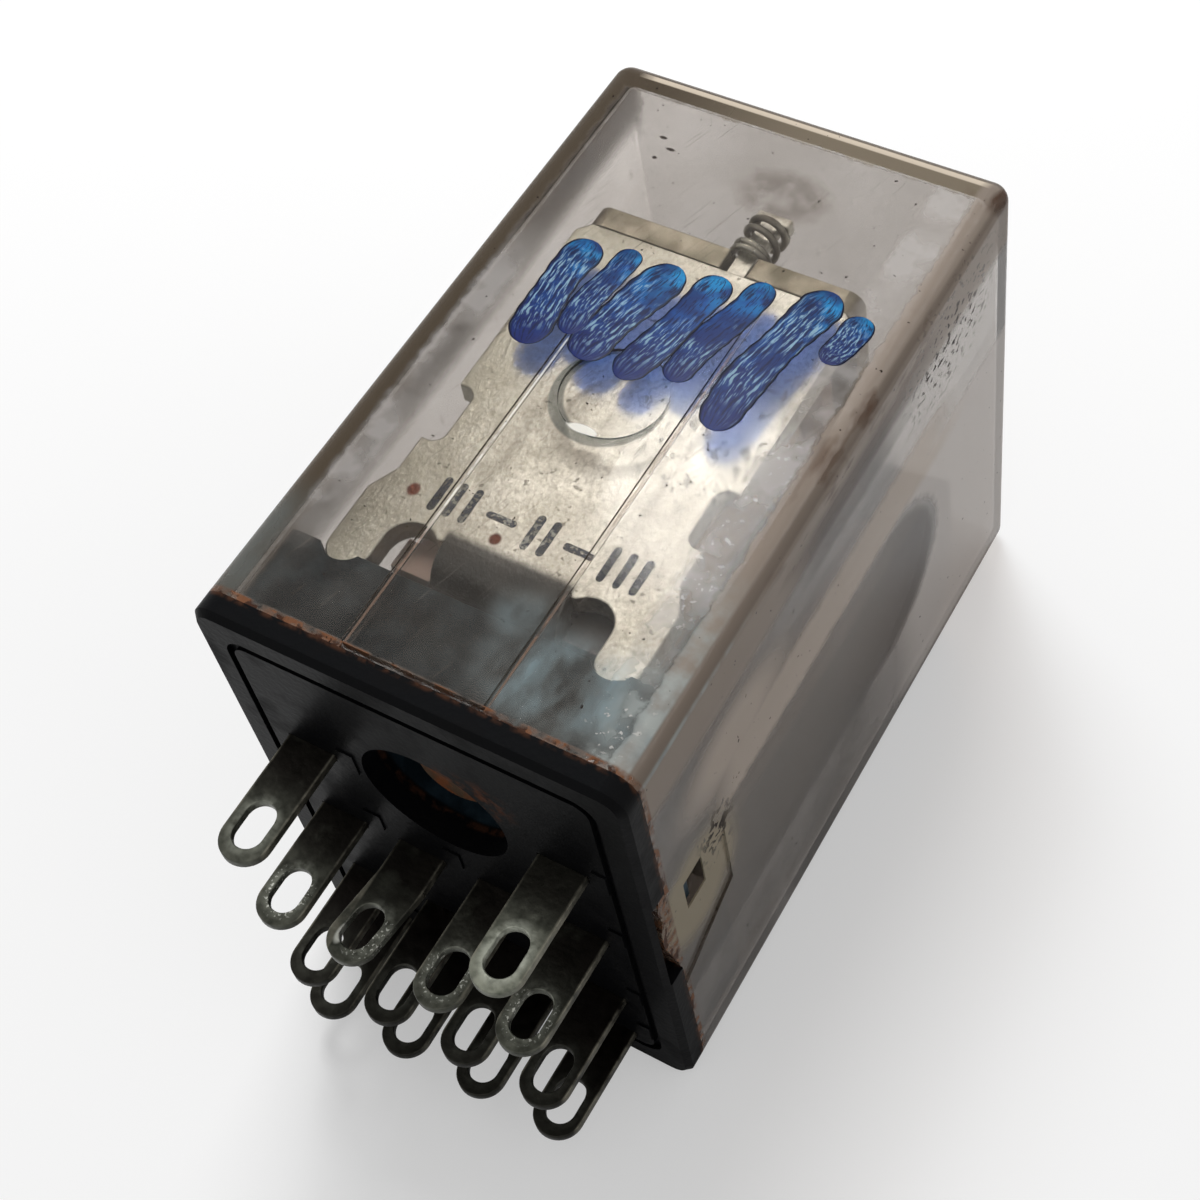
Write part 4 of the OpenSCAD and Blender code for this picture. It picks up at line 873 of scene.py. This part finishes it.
class RELAY_OT_return_spring(bpy.types.Operator):
    """Makes the return spring as a smooth round wire"""

    bl_idname = "relay.return_spring"
    bl_label = "Return Spring"

    def execute(self, context):
        low, high = box_mm("return_spring")
        wire, turns, steps_a_turn = 0.34, 4, 48
        coil_r = (high[0] - low[0]) / 2 - wire / 2
        foot_y, head_y = low[1] + wire / 2, high[1] - wire / 2
        # A helix: middle + r cos t, foot + height * rise, middle + r sin t. Its end turns lie flat,
        # because the rise, u - sin(2 pi u) / (2 pi), slows to nothing at both ends
        u = np.linspace(0, 1, turns * steps_a_turn + 1)
        turn = 2 * np.pi * turns * u
        rise = u - np.sin(2 * np.pi * u) / (2 * np.pi)
        path = np.stack([(low[0] + high[0]) / 2 + coil_r * np.cos(turn),
                         foot_y + (head_y - foot_y) * rise,
                         (low[2] + high[2]) / 2 + coil_r * np.sin(turn)], axis=1)
        finish = bare_metal("spring steel wire", "#a7a69b", "#6f6e66", 0.3)
        tube = tube_grid(path, wire / 2, 12, (0, 1, 0))
        spring = grid_mesh("return_spring_wire", [tube], finish, HOUSING)
        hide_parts("return_spring")
        return {"FINISHED"}


class RELAY_OT_cover(bpy.types.Operator):
    """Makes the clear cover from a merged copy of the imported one, with its top edge rounded"""

    bl_idname = "relay.cover"
    bl_label = "Cover"

    def execute(self, context):
        props = context.scene.relay_cover
        # Merged points and whole flat faces leave only real edges, of which those round the top face
        # are rounded
        made = bmesh.new()
        made.from_mesh(NODES["cover"].data)
        bmesh.ops.remove_doubles(made, verts=made.verts, dist=WELD)
        bmesh.ops.dissolve_limit(made, angle_limit=math.radians(0.2), verts=made.verts,
                                 edges=made.edges)
        top = COVER_HIGH[1] * MM - 1e-5
        rim = [e for e in made.edges if all(v.co.y > top for v in e.verts)
               and len(e.link_faces) == 2 and e.calc_face_angle(0) > math.radians(45)]
        bmesh.ops.bevel(made, geom=rim, offset=props.edge, segments=4, profile=0.5,
                        affect="EDGES", clamp_overlap=False)
        mesh = bpy.data.meshes.new("clear_cover")
        made.to_mesh(mesh)
        made.free()
        mesh.polygons.foreach_set("use_smooth", np.ones(len(mesh.polygons), bool))
        mesh.set_sharp_from_angle(angle=math.radians(25))
        mesh.materials.append(clear_polycarbonate(props))
        cover = bpy.data.objects.new("clear_cover", mesh)
        context.scene.collection.objects.link(cover)
        flat = cover.modifiers.new("flat faces", "WEIGHTED_NORMAL")
        flat.keep_sharp = True
        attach(cover, HOUSING)
        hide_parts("cover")
        return {"FINISHED"}


class RELAY_OT_marks(bpy.types.Operator):
    """Makes the marker strokes on the cover and the plain stamped bars on the yoke"""

    bl_idname = "relay.marks"
    bl_label = "Marks"

    def execute(self, context):
        props = context.scene.relay_marks
        half = props.stroke_width / MM / 2
        # Each stroke's width against the named one, then where it runs
        strokes = (
            (1.1, (-5.3, 24.9), (-5.6, 23.0), (-5.5, 20.4), (-5.2, 18.3)),
            (0.8, (-3.3, 25.2), (-3.5, 23.4), (-3.8, 21.6), (-3.7, 19.6)),
            (1.2, (-0.9, 25.1), (-1.6, 23.0), (-2.2, 20.6), (-2.5, 18.6)),
            (1.0, (1.2, 25.4), (0.9, 23.6), (0.4, 21.0), (-0.3, 18.4)),
            (0.9, (3.2, 25.9), (2.9, 24.0), (2.2, 21.6), (1.9, 19.2)),
            (1.15, (6.2, 26.6), (5.6, 24.2), (4.9, 20.8), (4.8, 17.6)),
            (0.85, (8.0, 25.9), (7.9, 24.4), (7.5, 22.9)),
        )
        grids = [stroke_grid(line, half * wide, lift=0.012, thick=0.01, surface=front_z)
                 for wide, *line in strokes]
        pen = grid_mesh("marker_strokes", grids, marker_ink(), HOUSING, uv=True)
        tall = props.stamp_height / MM / 2
        wide, row_y = 0.8 * tall, 10.3
        # Upright bars in threes and twos, with a short bar lying between the groups
        bars = [((x, row_y - tall), (x, row_y), (x, row_y + tall))
                for x in (-4.7, -3.9, -3.1, 0.1, 0.9, 3.9, 4.7, 5.5)]
        bars += [((x - wide, row_y), (x, row_y), (x + wide, row_y)) for x in (-1.5, 2.4)]
        grids = [stroke_grid(bar, 0.19, lift=0.006, thick=0.005, surface=lambda y: YOKE_Z + 0 * y)
                 for bar in bars]
        stamp = grid_mesh("stamped_bars", grids, stamp_ink(), HOUSING)
        return {"FINISHED"}


OPERATORS = (
    RELAY_OT_stage, RELAY_OT_base, RELAY_OT_blades, RELAY_OT_magnet, RELAY_OT_coil,
    RELAY_OT_contacts, RELAY_OT_leads, RELAY_OT_return_spring, RELAY_OT_cover, RELAY_OT_marks)
SETTINGS = {
    "relay_stage": RelayStageSettings, "relay_cover": RelayCoverSettings,
    "relay_marks": RelayMarkSettings, "relay_wires": RelayWireSettings}


class RELAY_PT_panel(bpy.types.Panel):
    """Lists the relay's settings and pieces"""

    bl_idname = "RELAY_PT_panel"
    bl_label = "Relay"
    bl_space_type = "VIEW_3D"
    bl_region_type = "UI"
    bl_category = "Relay"

    def draw(self, context):
        for name, group in SETTINGS.items():
            column = self.layout.column(align=True)
            for prop in group.__annotations__:
                column.prop(getattr(context.scene, name), prop)
        for operator in OPERATORS:
            self.layout.operator(operator.bl_idname)


def register():
    """Registers the settings, the operators and the panel."""
    for made in (*SETTINGS.values(), *OPERATORS, RELAY_PT_panel):
        bpy.utils.register_class(made)
    for name, group in SETTINGS.items():
        setattr(bpy.types.Scene, name, PointerProperty(type=group))


def unregister():
    """Takes them out again, in the opposite order."""
    for name in reversed(SETTINGS):
        delattr(bpy.types.Scene, name)
    for made in reversed((*SETTINGS.values(), *OPERATORS, RELAY_PT_panel)):
        bpy.utils.unregister_class(made)


def main():
    register()
    for operator in OPERATORS:
        group, name = operator.bl_idname.split(".")
        if getattr(getattr(bpy.ops, group), name)() != {"FINISHED"}:
            raise RuntimeError(f"{operator.bl_idname} didn't finish")


if __name__ == "__main__":
    main()
